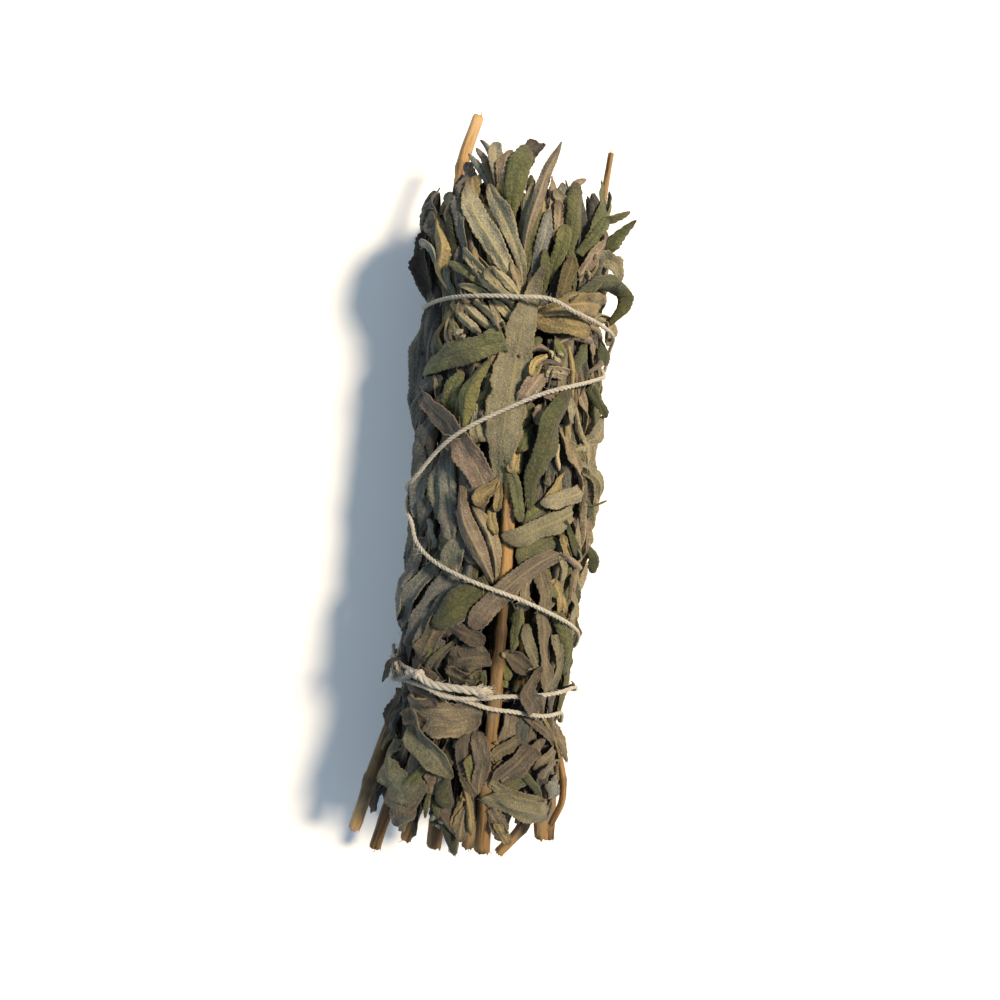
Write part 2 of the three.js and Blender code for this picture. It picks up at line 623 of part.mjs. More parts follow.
function tailMesh() {
  const stations = routeStations(TAIL_ROUTE, 1);
  const lift = cordLift(stations, TAIL_RADIUS);
  const points = stations.map(({ angle, y }, i) => onBundle(angle, y, lift[i]));
  const geometry = rod(points, 1, 1);
  const path = new THREE.CatmullRomCurve3(points, false, "centripetal");
  const steps = Math.max(2, Math.round(path.getLength()));
  const spaced = path.getSpacedPoints(steps);
  const position = geometry.attributes.position;
  const corner = new THREE.Vector3();
  for (let i = 0; i < position.count; i += 1) {
    corner.fromBufferAttribute(position, i);
    const gaps = spaced.map((p) => p.distanceTo(corner));
    const row = gaps.indexOf(Math.min(...gaps));
    corner.sub(spaced[row]).multiplyScalar(tailRadius(row / steps)).add(spaced[row]);
    position.setXYZ(i, corner.x, corner.y, corner.z);
  }
  raiseMapAlongRod(points, 1.4);
  return piece("twine_tail", geometry, LOOKS.twine);
}

// ---- the bunch -----------------------------------------------------------------------------

function piece(name, geometry, { color, roughness }) {
  const material = new THREE.MeshStandardMaterial({ color, roughness, metalness: 0 });
  const mesh = new THREE.Mesh(geometry, material);
  mesh.name = name;
  return mesh;
}

// The origin is under the middle of the bunch, on the surface it lies on.
function standOnOrigin(group) {
  const box = new THREE.Box3().setFromObject(group, true);
  const middle = box.getCenter(new THREE.Vector3());
  group.position.set(-middle.x, -middle.y, -box.min.z);
}

const bunch = new THREE.Group();
bunch.name = "sage_bunch";
STEMS.forEach((stem) => bunch.add(stemMesh(stem)));
UNDERSIDE_LEAVES.forEach((leaf) => bunch.add(leafMesh(leaf)));
TOP_LEAVES.forEach((leaf) => bunch.add(leafMesh(leaf)));
bunch.add(...twineMeshes(), tailMesh());
LEAVES_OVER_TWINE.forEach((leaf) => bunch.add(leafMesh(leaf)));
standOnOrigin(bunch);

export default bunch;
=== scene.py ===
# Sage bunch: the looks of a bundle of dried sage sprigs that lies flat, bound with cotton twine.
# The bundle's form, the layout sheet and the stems' routes repeat the CAD model's, in millimetres.
# Each mesh is moved into the frame and turned into metres when it is made.
import math

import bpy
import numpy as np
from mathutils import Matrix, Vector


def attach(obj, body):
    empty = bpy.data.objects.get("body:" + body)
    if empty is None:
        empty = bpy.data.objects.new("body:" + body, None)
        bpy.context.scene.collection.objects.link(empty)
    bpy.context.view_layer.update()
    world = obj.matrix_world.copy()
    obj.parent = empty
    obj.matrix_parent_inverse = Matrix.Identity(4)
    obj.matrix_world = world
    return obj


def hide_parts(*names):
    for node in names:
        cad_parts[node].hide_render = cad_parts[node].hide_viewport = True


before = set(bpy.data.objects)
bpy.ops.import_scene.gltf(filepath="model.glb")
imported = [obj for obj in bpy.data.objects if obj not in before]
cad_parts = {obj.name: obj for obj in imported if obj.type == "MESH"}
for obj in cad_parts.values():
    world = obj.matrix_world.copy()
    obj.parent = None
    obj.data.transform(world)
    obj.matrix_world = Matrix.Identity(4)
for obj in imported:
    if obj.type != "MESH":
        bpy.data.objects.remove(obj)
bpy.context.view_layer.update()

# ---- driving dimensions, in millimetres ------------------------------------------------------

CORE_HALF_WIDTH = 14.4
CORE_HALF_HEIGHT = 10.6
MID_HEIGHT = 16.0
TOPSIDE_POWER = 2.0  # the section is round on top
UNDERSIDE_POWER = 4  # and squarer below, where it lies on the floor
MIDDLE_OFFSET = 0.5
BOW = 2.4
BOW_REACH = 62
FIRST_LAYER = 1.0
LEAF_THICKNESS = 0.32
LEAF_GAP = 0.1
TWINE_RADIUS = 0.48
METRIC_RADIUS = 16.5  # turns an angle round the bundle into millimetres of its skin

SHEET_STEP = 0.2
SHEET_CENTRE = 500
SHEET_HALF = 100.0
LEAN = math.radians(5.5)
EYE_HEIGHT = 140.0

# Where the bundle is drawn in and where it swells: by how much of its girth, its y and its reach.
TIES = [(0.1, -40, 10), (0.07, 36, 7)]
SWELLS = [(0.06, 52, 10), (0.05, -62, 8)]
TIPS_FROM = 58
TIPS_REACH = 22
TIPS_TAPER = 0.3

TAU = 2 * math.pi


# ---- the bundle's form -----------------------------------------------------------------------

def bell(y, centre, reach):
    return np.exp(-(((y - centre) / reach) ** 2))


def bells(y, places):
    return sum(amount * bell(y, centre, reach) for amount, centre, reach in places)


def smooth(value):
    t = np.clip(value, 0, 1)
    return t * t * (3 - 2 * t)


def middle_x(y):
    return MIDDLE_OFFSET - BOW * (y / BOW_REACH) ** 2


def girth(y):
    return 1 - bells(y, TIES) + bells(y, SWELLS) - TIPS_TAPER * smooth((y - TIPS_FROM) / TIPS_REACH)


def section_power(up):
    return np.where(up < 0, UNDERSIDE_POWER, TOPSIDE_POWER)


def roundness(angle):
    power = section_power(np.sin(angle))
    total = np.abs(np.cos(angle)) ** power + np.abs(np.sin(angle)) ** power
    return total ** (-1 / power)


def grid(*channels):
    """Rows, columns, whole grids or single values, as one grid with a channel for each."""
    return np.stack(np.broadcast_arrays(*channels), axis=-1)


def on_bundle(x, y, lift):
    """Places on the skin (x mm round the bundle from its right side, y along it) as points in space."""
    angle = x / METRIC_RADIUS
    r = roundness(angle)
    g = girth(y)
    across = middle_x(y) + (g * CORE_HALF_WIDTH + lift) * r * np.cos(angle)
    up = MID_HEIGHT + (g * CORE_HALF_HEIGHT + lift) * r * np.sin(angle)
    return grid(across, y, up)


LEAST_HALF_HEIGHT = 0.5
MOST_LIFT = 20.0
HALVINGS = 30


def skin_place(points):
    """The x on the skin and the lift of points in space, found by halving the range of lifts."""
    y = points[..., 1]
    g = girth(y)
    dx = points[..., 0] - middle_x(y)
    dz = points[..., 2] - MID_HEIGHT
    power = section_power(dz)
    low = LEAST_HALF_HEIGHT - g * CORE_HALF_HEIGHT
    high = np.full_like(low, MOST_LIFT)
    for _ in range(HALVINGS):
        lift = (low + high) / 2
        across = np.abs(dx) / (g * CORE_HALF_WIDTH + lift)
        up = np.abs(dz) / (g * CORE_HALF_HEIGHT + lift)
        outside = across ** power + up ** power > 1
        low = np.where(outside, lift, low)
        high = np.where(outside, high, lift)
    angle = np.arctan2(dz / (g * CORE_HALF_HEIGHT + low), dx / (g * CORE_HALF_WIDTH + low))
    return angle * METRIC_RADIUS, low


def sheet_point(u, v, rise):
    """A mark on the layout sheet as a point at the given height over the bundle's middle."""
    across = (u - SHEET_CENTRE) * SHEET_STEP
    along = (SHEET_CENTRE - v) * SHEET_STEP
    shrink = 1 - rise / EYE_HEIGHT
    x = (across * math.cos(LEAN) - along * math.sin(LEAN)) * shrink
    y = (across * math.sin(LEAN) + along * math.cos(LEAN)) * shrink
    return np.array([x, y, MID_HEIGHT + rise])


SKIN_LIFT = 3.5  # of the leaves over the core, where a mark gives no lift of its own
NO_LEAST = -9.0  # a least lift that lies under every layer, so that it never holds
SIDE_LIMIT = 0.995  # a mark past the bundle's outline goes onto its flank
SKIN_ROUNDS = 12


def on_skin(mark):
    """A mark (u, v) or (u, v, lift) carried onto the bundle, as (x on the skin, y, least lift)."""
    u, v = mark[:2]
    lift = mark[2] if len(mark) > 2 else SKIN_LIFT
    rise = CORE_HALF_HEIGHT
    for _ in range(SKIN_ROUNDS):
        point = sheet_point(u, v, rise)
        g = girth(point[1])
        side = (point[0] - middle_x(point[1])) / (g * CORE_HALF_WIDTH + lift)
        side = np.clip(side, -SIDE_LIMIT, SIDE_LIMIT)
        rise = (rise + (g * CORE_HALF_HEIGHT + lift) * math.sqrt(1 - side * side)) / 2
    least = lift if len(mark) > 2 else NO_LEAST
    return [math.acos(side) * METRIC_RADIUS, point[1], least]


def from_degrees(degrees, y):
    return [math.radians(degrees) * METRIC_RADIUS, y, NO_LEAST]


# ---- curves ----------------------------------------------------------------------------------

SPAN_STEPS = 24


def distances(path):
    """How far along a path each of its points is."""
    return np.append(0, np.cumsum(np.linalg.norm(np.diff(path, axis=0), axis=1)))


def smooth_path(points, step):
    """Points at equal steps along the centripetal Catmull-Rom curve through the given ones."""
    p = np.asarray(points, float)
    p = np.vstack([2 * p[0] - p[1], p, 2 * p[-1] - p[-2]])
    t = np.linspace(0, 1, SPAN_STEPS, endpoint=False)[:, None]
    curve = []
    for a, b, c, d in zip(p, p[1:], p[2:], p[3:]):
        gaps = [max(np.linalg.norm(q - r) ** 0.5, 1e-6) for q, r in ((b, a), (c, b), (d, c))]
        start = (b - a) / gaps[0] - (c - a) / (gaps[0] + gaps[1]) + (c - b) / gaps[1]
        end = (c - b) / gaps[1] - (d - b) / (gaps[1] + gaps[2]) + (d - c) / gaps[2]
        start = start * gaps[1]
        end = end * gaps[1]
        rise = 2 * b - 2 * c + start + end
        bend = -3 * b + 3 * c - 2 * start - end
        curve.append(b + start * t + bend * t ** 2 + rise * t ** 3)
    curve = np.vstack(curve + [p[-2][None]])
    lengths = distances(curve)
    count = max(4, int(round(lengths[-1] / step)))
    wanted = np.linspace(0, lengths[-1], count + 1)
    return np.stack([np.interp(wanted, lengths, curve[:, k]) for k in range(p.shape[1])], axis=1)


def unit(vectors):
    return vectors / np.maximum(np.linalg.norm(vectors, axis=-1, keepdims=True), 1e-9)


def path_frames(path):
    """Two directions square to a path, carried along it without needless turning, and its own."""
    tangent = unit(np.gradient(path, axis=0))
    first = np.cross(tangent[0], [0.0, 0.0, 1.0])
    if np.linalg.norm(first) < 0.1:
        first = np.cross(tangent[0], [1.0, 0.0, 0.0])
    side = [unit(first)]
    for t in tangent[1:]:
        carried = side[-1] - t * np.dot(side[-1], t)
        side.append(unit(carried))
    side = np.array(side)
    return side, np.cross(tangent, side), tangent


def turns(sides):
    return TAU * np.arange(sides) / sides


def ring_rows(path, radii):
    """Rings of points round a path; radii is rows by sides."""
    side, up, _ = path_frames(path)
    turn = turns(radii.shape[1])[None, :, None]
    around = side[:, None] * np.cos(turn) + up[:, None] * np.sin(turn)
    return path[:, None] + around * radii[..., None]


WAVES = 4
WAVE_HEIGHT = 0.8


def wave(rng, along, longest, shortest):
    """A smooth random curve over a length, about -1 to 1."""
    total = np.zeros_like(along)
    for _ in range(WAVES):
        length = rng.uniform(min(shortest, longest), longest)
        total = total + np.sin(TAU * (along / length + rng.uniform()))
    return total / math.sqrt(WAVES) * WAVE_HEIGHT


def spread(values, reach, use):
    """A running maximum or mean over reach entries to each side."""
    padded = np.pad(values, reach, mode="edge")
    windows = np.lib.stride_tricks.sliding_window_view(padded, 2 * reach + 1)
    return use(windows, axis=-1)


# ---- random numbers ----------------------------------------------------------------------------

SEED = 5
# Each kind of thing draws its random numbers from a stream of its own, and each thing from its start.
STREAMS = {
    "stem": 1, "inner": 2, "bed": 3, "under": 4, "tuft": 5, "front": 6, "twine": 7, "over_twine": 8,
    "crumb": 9, "twig": 10, "end": 11,
}


def rng_for(kind, *number):
    return np.random.default_rng([SEED, STREAMS[kind], *number])


# ---- the lift map: how high the layers laid so far reach --------------------------------------

MAP_TURN = 720
MAP_START = -84.0
MAP_CELL = 0.4
MAP_ROWS = 425
lift_map = np.full((MAP_ROWS, MAP_TURN), FIRST_LAYER)
NEAR = 1.2  # mm: a mark lies on the mean of its own place and of four so far from it
NEAR_X = NEAR * np.array([-1, 0, 1, 0, 0])
NEAR_Y = NEAR * np.array([0, -1, 0, 1, 0])
LOW_LIFT = 2.6
TOP_LIFT = 6.5


def map_cells(x, y):
    column = np.round(x / METRIC_RADIUS / TAU * MAP_TURN).astype(int) % MAP_TURN
    row = np.clip(np.round((y - MAP_START) / MAP_CELL).astype(int), 1, MAP_ROWS - 2)
    return row, column


def lift_at(x, y):
    return lift_map[map_cells(x, y)]


def on_layers(mark, above):
    """A mark carried onto what has been laid so far, or to the lift that it gives itself."""
    if len(mark) > 2:
        return on_skin(mark)
    lift = SKIN_LIFT
    for _ in range(3):
        x, y, _ = on_skin((*mark, lift))
        near = lift_at(x + NEAR_X, y + NEAR_Y)
        lift = np.clip(near.mean(), LOW_LIFT, TOP_LIFT) + above
    return [x, y, NO_LEAST]


def raise_map(x, y, lift):
    row, column = map_cells(x, y)
    for step in (-1, 0, 1):
        np.maximum.at(lift_map, (row, (column + step) % MAP_TURN), lift)


# ---- tubes: every shape is rows of closed rings ------------------------------------------------

def tube(points, blade, form, tone):
    """A closed tube: rows of rings of points, with what the materials read at each of them."""
    blade, form, tone = (np.broadcast_to(np.asarray(v, float), points.shape) for v in (blade, form, tone))
    near = points - points[0].mean(axis=0)
    beside = np.roll(near, -1, axis=1)
    volume = np.einsum("ijk,ijk->", near[:-1], np.cross(beside[:-1], near[1:]))
    if volume < 0:  # the faces would look inwards
        points, blade, form = points[:, ::-1], blade[:, ::-1], form[:, ::-1]
    return {"points": points, "blade": blade, "form": form, "tone": tone}


FLOOR_SOFTNESS = 0.5  # mm over the floor within which what lies under the bundle is pressed flat


def to_frame(points):
    """Authored millimetres to metres in the frame, with nothing under the floor."""
    moved = points + bundle_shift
    low = np.minimum(moved[..., 2], FLOOR_SOFTNESS)
    flattened = FLOOR_SOFTNESS * np.exp((low - FLOOR_SOFTNESS) / FLOOR_SOFTNESS)
    moved[..., 2] = np.where(moved[..., 2] < FLOOR_SOFTNESS, flattened, moved[..., 2])
    return moved / 1000


# The UV map is an even atlas: each tube takes a cell for every so many rows. Its two end faces
# share a tiny spot in the corner of its first cell.
UV_MARGIN = 0.04
ROWS_IN_A_CELL = 96
CAP_PLACE = 0.01
CAP_SIZE = 0.004


def cells_of(rows):
    return 1 + (rows - 2) // ROWS_IN_A_CELL


def in_cell(share):
    return share * (1 - 2 * UV_MARGIN) + UV_MARGIN


def side_uvs(rows, ring, cell, cells_wide):
    """UVs of a tube's four-cornered faces."""
    i, j = np.meshgrid(np.arange(rows - 1), np.arange(ring), indexing="ij")
    own = cell + i // ROWS_IN_A_CELL
    chunk_rows = np.minimum(ROWS_IN_A_CELL, rows - 1 - (i // ROWS_IN_A_CELL) * ROWS_IN_A_CELL)
    corners = []
    for di, dj in ((0, 0), (0, 1), (1, 1), (1, 0)):
        across = in_cell((j + dj) / ring)
        along = in_cell((i % ROWS_IN_A_CELL + di) / chunk_rows)
        corners.append(grid(own % cells_wide + across, own // cells_wide + along) / cells_wide)
    return np.stack(corners, axis=2).reshape(-1, 2)


def cap_uvs(ring, cell, cells_wide):
    """UVs of a tube's two end faces."""
    corner = np.array([cell % cells_wide + CAP_PLACE, cell // cells_wide + CAP_PLACE]) / cells_wide
    turn = turns(2 * ring)
    return corner + CAP_SIZE / cells_wide * grid(np.cos(turn), np.sin(turn))


def tube_faces(rows, ring):
    """The corners of a tube's sides, four by four, and of its two end faces."""
    i = np.arange(rows - 1)[:, None] * ring
    j = np.arange(ring)[None]
    k = (j + 1) % ring
    sides = np.stack([i + j, i + k, i + ring + k, i + ring + j], axis=-1).reshape(-1)
    return sides, np.concatenate([np.arange(ring)[::-1], (rows - 1) * ring + np.arange(ring)])


def make_mesh(name, tubes):
    """One mesh from a list of tubes, with its UV map and what its material reads."""
    cells_wide = math.ceil(math.sqrt(sum(cells_of(len(t["points"])) for t in tubes)))
    loops, starts, uvs = [], [], []
    first_vertex, first_loop, cell = 0, 0, 0
    for t in tubes:
        rows, ring = t["points"].shape[:2]
        sides, caps = tube_faces(rows, ring)
        loops += [sides + first_vertex, caps + first_vertex]
        starts += [first_loop + np.arange(0, len(sides), 4), first_loop + len(sides) + np.array([0, ring])]
        uvs += [side_uvs(rows, ring, cell, cells_wide), cap_uvs(ring, cell, cells_wide)]
        first_vertex += rows * ring
        first_loop += len(sides) + len(caps)
        cell += cells_of(rows)
    vertices = to_frame(np.concatenate([t["points"].reshape(-1, 3) for t in tubes]))
    loops = np.concatenate(loops)
    starts = np.concatenate(starts)
    mesh = bpy.data.meshes.new(name)
    mesh.vertices.add(len(vertices))
    mesh.vertices.foreach_set("co", vertices.ravel())
    mesh.loops.add(len(loops))
    mesh.loops.foreach_set("vertex_index", loops)
    mesh.polygons.add(len(starts))
    mesh.polygons.foreach_set("loop_start", starts)
    mesh.polygons.foreach_set("use_smooth", np.ones(len(starts), bool))
    mesh.uv_layers.new(name="OFBake").data.foreach_set("uv", np.concatenate(uvs).ravel())
    for key in ("blade", "form", "tone"):
        values = np.concatenate([t[key].reshape(-1, 3) for t in tubes])
        mesh.attributes.new(key, "FLOAT_VECTOR", "POINT").data.foreach_set("vector", values.ravel())
    mesh.update(calc_edges=True)
    mesh.validate()
    return mesh


def make_piece(name, slot, tubes, replaced=()):
    """One object from a list of tubes, riding on the bunch's one body."""
    mesh = make_mesh(name, tubes)
    mesh.materials.append(materials[slot])
    piece = bpy.data.objects.new(name, mesh)
    bpy.context.scene.collection.objects.link(piece)
    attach(piece, "root")
    if replaced:
        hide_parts(*replaced)


# ---- leaves ------------------------------------------------------------------------------------

# How finely a leaf is meshed: its columns from edge to edge, and the step between its rows.
DETAIL = {
    "fine": (np.array([-1, -0.88, -0.55, -0.16, 0, 0.16, 0.55, 0.88, 1]), 0.33),
    "even": (np.array([-1, -0.82, -0.4, 0, 0.4, 0.82, 1]), 0.6),
    "plain": (np.array([-1, -0.6, 0, 0.6, 1]), 1.3),
}
TOOTH = 0.95  # mm between the scallops of a leaf's edge
VEIN_STEP = 1.7  # mm between its side veins
VEIN_SLANT = 0.8

# How a dried leaf's blade is shaped. camber: how far its edges fall, against half its width;
# fold: how far its halves rise from the midrib; rib: height of the midrib; veins: of the swellings
# between side veins; waviness: of the edges; teeth: depth of the scallops; roll: how far the edges
# turn up; pleat: height of its folds along; point: how blunt its tip is, a low number being blunt.
STYLE_PARTS = ("camber", "fold", "rib", "veins", "waviness", "teeth", "roll", "pleat", "point")
STYLES = {
    "pale": (-0.1, -0.1, 0.24, 0.05, 0.45, 0.2, 0.2, 0.07, 0.75),
    "green": (0.3, 0.1, -0.16, 0.022, 0.4, 0.24, -0.4, 0.04, 0.55),
    "grey": (0.15, 0.1, -0.12, 0.022, 0.6, 0.23, -0.2, 0.1, 0.7),
    "brown": (0.0, 0.1, 0.18, 0.1, 0.75, 0.23, 0.3, 0.13, 0.75),
    "ochre": (0.0, -0.1, 0.14, 0.08, 0.7, 0.2, 0.25, 0.12, 0.7),
    "rolled": (0.8, 0.0, -0.1, 0.08, 0.4, 0.12, -1.1, 0.05, 0.65),
    "cupped": (-0.6, 0.0, 0.18, 0.08, 0.5, 0.15, 0.8, 0.05, 0.65),
    "folded": (0.0, 0.8, 0.1, 0.06, 0.5, 0.13, 0.0, 0.06, 0.7),
    "ridged": (0.1, -0.65, 0.2, 0.06, 0.45, 0.13, 0.0, 0.06, 0.7),
    "pleated": (0.1, 0.0, 0.15, 0.06, 0.7, 0.24, 0.3, 0.2, 0.55),
    "wrinkled": (0.2, 0.0, -0.1, 0.3, 0.8, 0.2, -0.4, 0.12, 0.5),
}
OWN_CHANGES = {"fold": 0.22, "camber": 0.18, "roll": 0.25}  # from one leaf of a style to the next

# The outline of a blade, against its whole width and length: the width of its foot, the range of
# lengths over which it widens, the range where its tip begins, and how far its ends are cut aslant.
SHAPES = {
    "leaf": (0.26, (0.3, 0.62), (0.5, 0.75), 0.15),
    "lance": (0.2, (0.5, 0.8), (0.35, 0.5), 0.1),
    "strip": (0.75, (0.15, 0.4), (0.8, 0.92), 0.5),
    "spoon": (0.22, (0.7, 0.85), (0.7, 0.8), 0.2),
    "point": (0.8, (0.15, 0.35), (0.3, 0.5), 0.1),
    "ovate": (0.25, (0.28, 0.32), (0.28, 0.32), 0.0),
    "blunt": (0.9, (0.15, 0.2), (0.35, 0.45), 0.0),
    "wedge": (0.2, (0.9, 1.0), (0.93, 0.96), 0.3),
}
OUTLINE_SHARE = 0.45  # half a blade's outline against its width; the scallops make up the rest
LEAST_HALF = 0.04
FOOT_CURVE = 0.8
TIP_CURVE = 1.9
TIP_PAST = 1.012  # the outline runs out just past the last row, which keeps some width
EDGE_WAVE = 0.11
SCALLOP_ROOM = 0.8  # where a blade's half is narrower than this, its scallops are shallower


def own_style(rng, style):
    parts = dict(zip(STYLE_PARTS, STYLES[style]))
    for part, change in OWN_CHANGES.items():
        parts[part] += rng.normal(0, change)
    return parts


def blade_outline(t, point, foot, widens, tip_start):
    """Width of a leaf along its length: a narrow foot, nearly even sides and a blunt tip."""
    from_foot = foot + (1 - foot) * smooth(t / widens * 0.9 + 0.05) ** FOOT_CURVE
    tip = np.clip((t - tip_start) / (TIP_PAST - tip_start), 0, 1)
    return from_foot * (1 - tip ** TIP_CURVE) ** point


def blade_edges(rng, parts, shape, width, along, toothed):
    """How far a blade's two edges stand from its midrib, along its length."""
    foot, widens, tip, _ = SHAPES[shape]
    outline = OUTLINE_SHARE * width * blade_outline(
        along / along[-1], parts["point"] * rng.uniform(0.85, 1.15), foot, rng.uniform(*widens),
        rng.uniform(*tip))
    edges = []
    for _ in range(2):
        scallops = np.abs(np.sin(math.pi * along / TOOTH + rng.uniform() * 3)) * parts["teeth"] * toothed
        ragged = outline * (1 + EDGE_WAVE * wave(rng, along, 12, 3))
        edges.append(ragged + scallops * smooth(outline / SCALLOP_ROOM) + LEAST_HALF)
    return edges


def blade_profile(rng, parts, s, half, along, length):
    """Height of a blade over its own middle plane, rows by columns."""
    across = np.abs(s)
    t = along / length
    bed = parts["camber"] * half * (1 - s * s) + parts["fold"] * half * across
    rib = parts["rib"] * np.exp(-((s * half / 0.3) ** 2)) * (1 - 0.7 * t)
    edge = parts["roll"] * half * np.clip(across - 0.6, 0, 1) ** 2 * 2.5
    slant = along - VEIN_SLANT * across * half + 0.35 * wave(rng, along, 6, 2.5)
    swell = np.sin(TAU * slant / VEIN_STEP + rng.uniform() * TAU) * across * (1 - 0.3 * across)
    swell = swell * parts["veins"] * (0.6 + 0.4 * wave(rng, along, 9, 3))
    left = wave(rng, along, 0.7 * length, 5)
    right = wave(rng, along, 0.7 * length, 5)
    margin = np.where(s < 0, left, right) * across ** 2 * parts["waviness"] * half / 2.2
    ripple = wave(rng, along + s * 2.0, 6, 2.2) * 0.13 * parts["waviness"]
    drift = rng.uniform() + 0.25 * wave(rng, along, length, 6)
    pleats = parts["pleat"] * half * np.cos(TAU * (rng.uniform(0.7, 1.3) * s + drift))
    return bed + rib + edge + swell + margin + ripple + pleats


TOP_ROOM = 3.0  # the front leaves may lie that much higher on top than at the sides
PRESS_SOFTNESS = 0.45
STIFFNESS = 3.0  # mm of its length over which a leaf bridges what is under it
STEEPEST = 0.5
LEAST_BASE = 0.3  # keeps a row that is nearly a point from leaning


def pressed(lift, x, cap, top_room):
    """The twine presses the layers together: a lift nears the cap, but hardly passes it."""
    room = cap + top_room * np.clip(np.sin(x / METRIC_RADIUS), 0, 1) ** 2
    return room - PRESS_SOFTNESS * np.log1p(np.exp((room - lift) / PRESS_SOFTNESS))


def settled(path, skin, x, z, step, sink, cap, top_room):
    """The lift of a leaf that lies on what the map holds, along its path, and its slope across."""
    under = lift_at(*skin)
    reach = max(1, int(round(STIFFNESS / step)))
    level = under - under.mean(axis=1, keepdims=True)
    slope = (level * x).sum(axis=1) / np.maximum((x * x).sum(axis=1), LEAST_BASE)
    slope = spread(np.clip(slope, -STEEPEST, STEEPEST), reach, np.mean)[:, None]
    need = (under - slope * x - z).max(axis=1) + LEAF_THICKNESS + LEAF_GAP - sink
    lift = spread(spread(need, max(1, reach // 2), np.max), reach, np.mean)
    return np.maximum(pressed(lift, path[:, 0], cap, top_room), path[:, 2]), slope


HOLD_COLUMNS = 33
HOLD_STEP = 0.35


def resampled(rows, old, new):
    return np.array([np.interp(new, old, row) for row in rows])


def hold_leaf(columns, length, *grids):
    """The map takes in a leaf's x, y and lift, on a finer grid than its own, to miss no cell."""
    rows = np.arange(len(grids[0]))
    finer_rows = np.linspace(0, rows[-1], int(length / HOLD_STEP) + 1)
    finer_columns = np.linspace(-1, 1, HOLD_COLUMNS)
    wide = [resampled(values, columns, finer_columns) for values in grids]
    raise_map(*[resampled(values.T, rows, finer_rows).T for values in wide])


def underside(top, s, half):
    """A blade's lower face: its thickness under the upper one, and thinner towards the edges."""
    normal = unit(np.cross(np.gradient(top, axis=0), np.gradient(top, axis=1)))
    shell = LEAF_THICKNESS * (1 - 0.4 * np.abs(s) ** 3) * (0.4 + 0.6 * smooth(half / 1.2))
    return top - normal * shell[..., None]


def closed(upper, lower):
    return np.concatenate([upper, lower[:, ::-1]], axis=1)


CUT_END_DARKENING = 0.3  # the leaves near the cut ends are that much darker
CUT_END_DARKENING_FROM = -14.0
CUT_END_DARKENING_REACH = 14.0
SINK_REACH = 7.0  # mm from its foot over which a leaf comes up from under the others
TURN_CENTRE = 0.4
SLANT_REACH = 0.3
LIFTED_FROM = 0.62
LIFTED_SHARE = 0.12
PATTERN_ROOM = 400  # mm of pattern, from which each leaf takes a place of its own


def lay_leaf(rng, route, width, style, detail="fine", shape="leaf", drape=True, sink=0.0, tuck=0.0,
             cap=3.4, top_room=TOP_ROOM, tip_lift=0.0, roll=0.0, twist=0.0, bright=1.0, hue=0.0,
             dry=0.3):
    """A leaf as a closed shell. A draped one lies over what the map holds, which then holds it too."""
    columns, step = DETAIL[detail]
    parts = own_style(rng, style)
    path = smooth_path(route, step)
    along = distances(path[:, :2])
    length = along[-1]
    t = along / length
    s = columns[None]
    left, right = blade_edges(rng, parts, shape, width, along, step < 1)
    half = np.where(s < 0, left[:, None], right[:, None])
    x = s * half
    z = blade_profile(rng, parts, s, half, along[:, None], length)
    turn = np.radians(roll + twist * (t - TURN_CENTRE))[:, None]
    x, z = x * np.cos(turn) - z * np.sin(turn), x * np.sin(turn) + z * np.cos(turn)
    at_tip = smooth((t - (1 - SLANT_REACH)) / SLANT_REACH)
    at_foot = smooth((SLANT_REACH - t) / SLANT_REACH)
    slant = rng.normal() * at_tip + rng.normal() * at_foot
    slip = (SHAPES[shape][-1] * slant)[:, None] * x
    tangent = unit(np.gradient(path[:, :2], axis=0))
    skin_x = path[:, :1] + x * tangent[:, 1:] + slip * tangent[:, :1]
    skin_y = path[:, 1:2] - x * tangent[:, :1] + slip * tangent[:, 1:]
    lift = path[:, 2]
    if drape:
        lift, slope = settled(path, (skin_x, skin_y), x, z, step, sink, cap, top_room)
        lift = lift - tuck * (1 - smooth(along / SINK_REACH))
        z = z + slope * x
    lift = lift + tip_lift * smooth((t - LIFTED_FROM) / (1 - LIFTED_FROM)) * length * LIFTED_SHARE
    height = lift[:, None] + z
    if drape:
        hold_leaf(columns, length, skin_x, skin_y, height)
    top = on_bundle(skin_x, skin_y, height)
    flat = grid(along[:, None], s * half, rng.uniform(0, PATTERN_ROOM))
    place = grid(s, t[:, None], 0)
    # Leaves towards the cut ends are darkened by their position along the bundle.
    towards_cut_ends = smooth((CUT_END_DARKENING_FROM - path[:, 1].mean()) / CUT_END_DARKENING_REACH)
    tone = [bright * (1 - CUT_END_DARKENING * towards_cut_ends), hue, dry]
    return tube(closed(top, underside(top, s, half)), closed(flat, flat), closed(place, place), tone)


def leaf(look, width, *marks, name="", **more):
    """One leaf of the front: its look, its width, the marks that it runs through from its foot."""
    return {"look": look, "width": width, "marks": marks, "name": name, **more}


def strip(look, width, *marks, **more):
    """A leaf of the front of which an even strip shows."""
    return leaf(look, width, *marks, shape="strip", **more)


FAN_BOW = 3


def fan(foot, tips):
    """Leaves that spread from one foot, in degrees round the bundle and y."""
    routes = []
    for i, tip in enumerate(tips):
        bow = FAN_BOW if i % 2 else -FAN_BOW
        middle = ((foot[0] + tip[0]) / 2 + bow, (foot[1] + tip[1]) / 2)
        routes.append([from_degrees(*place) for place in (foot, middle, tip)])
    return routes


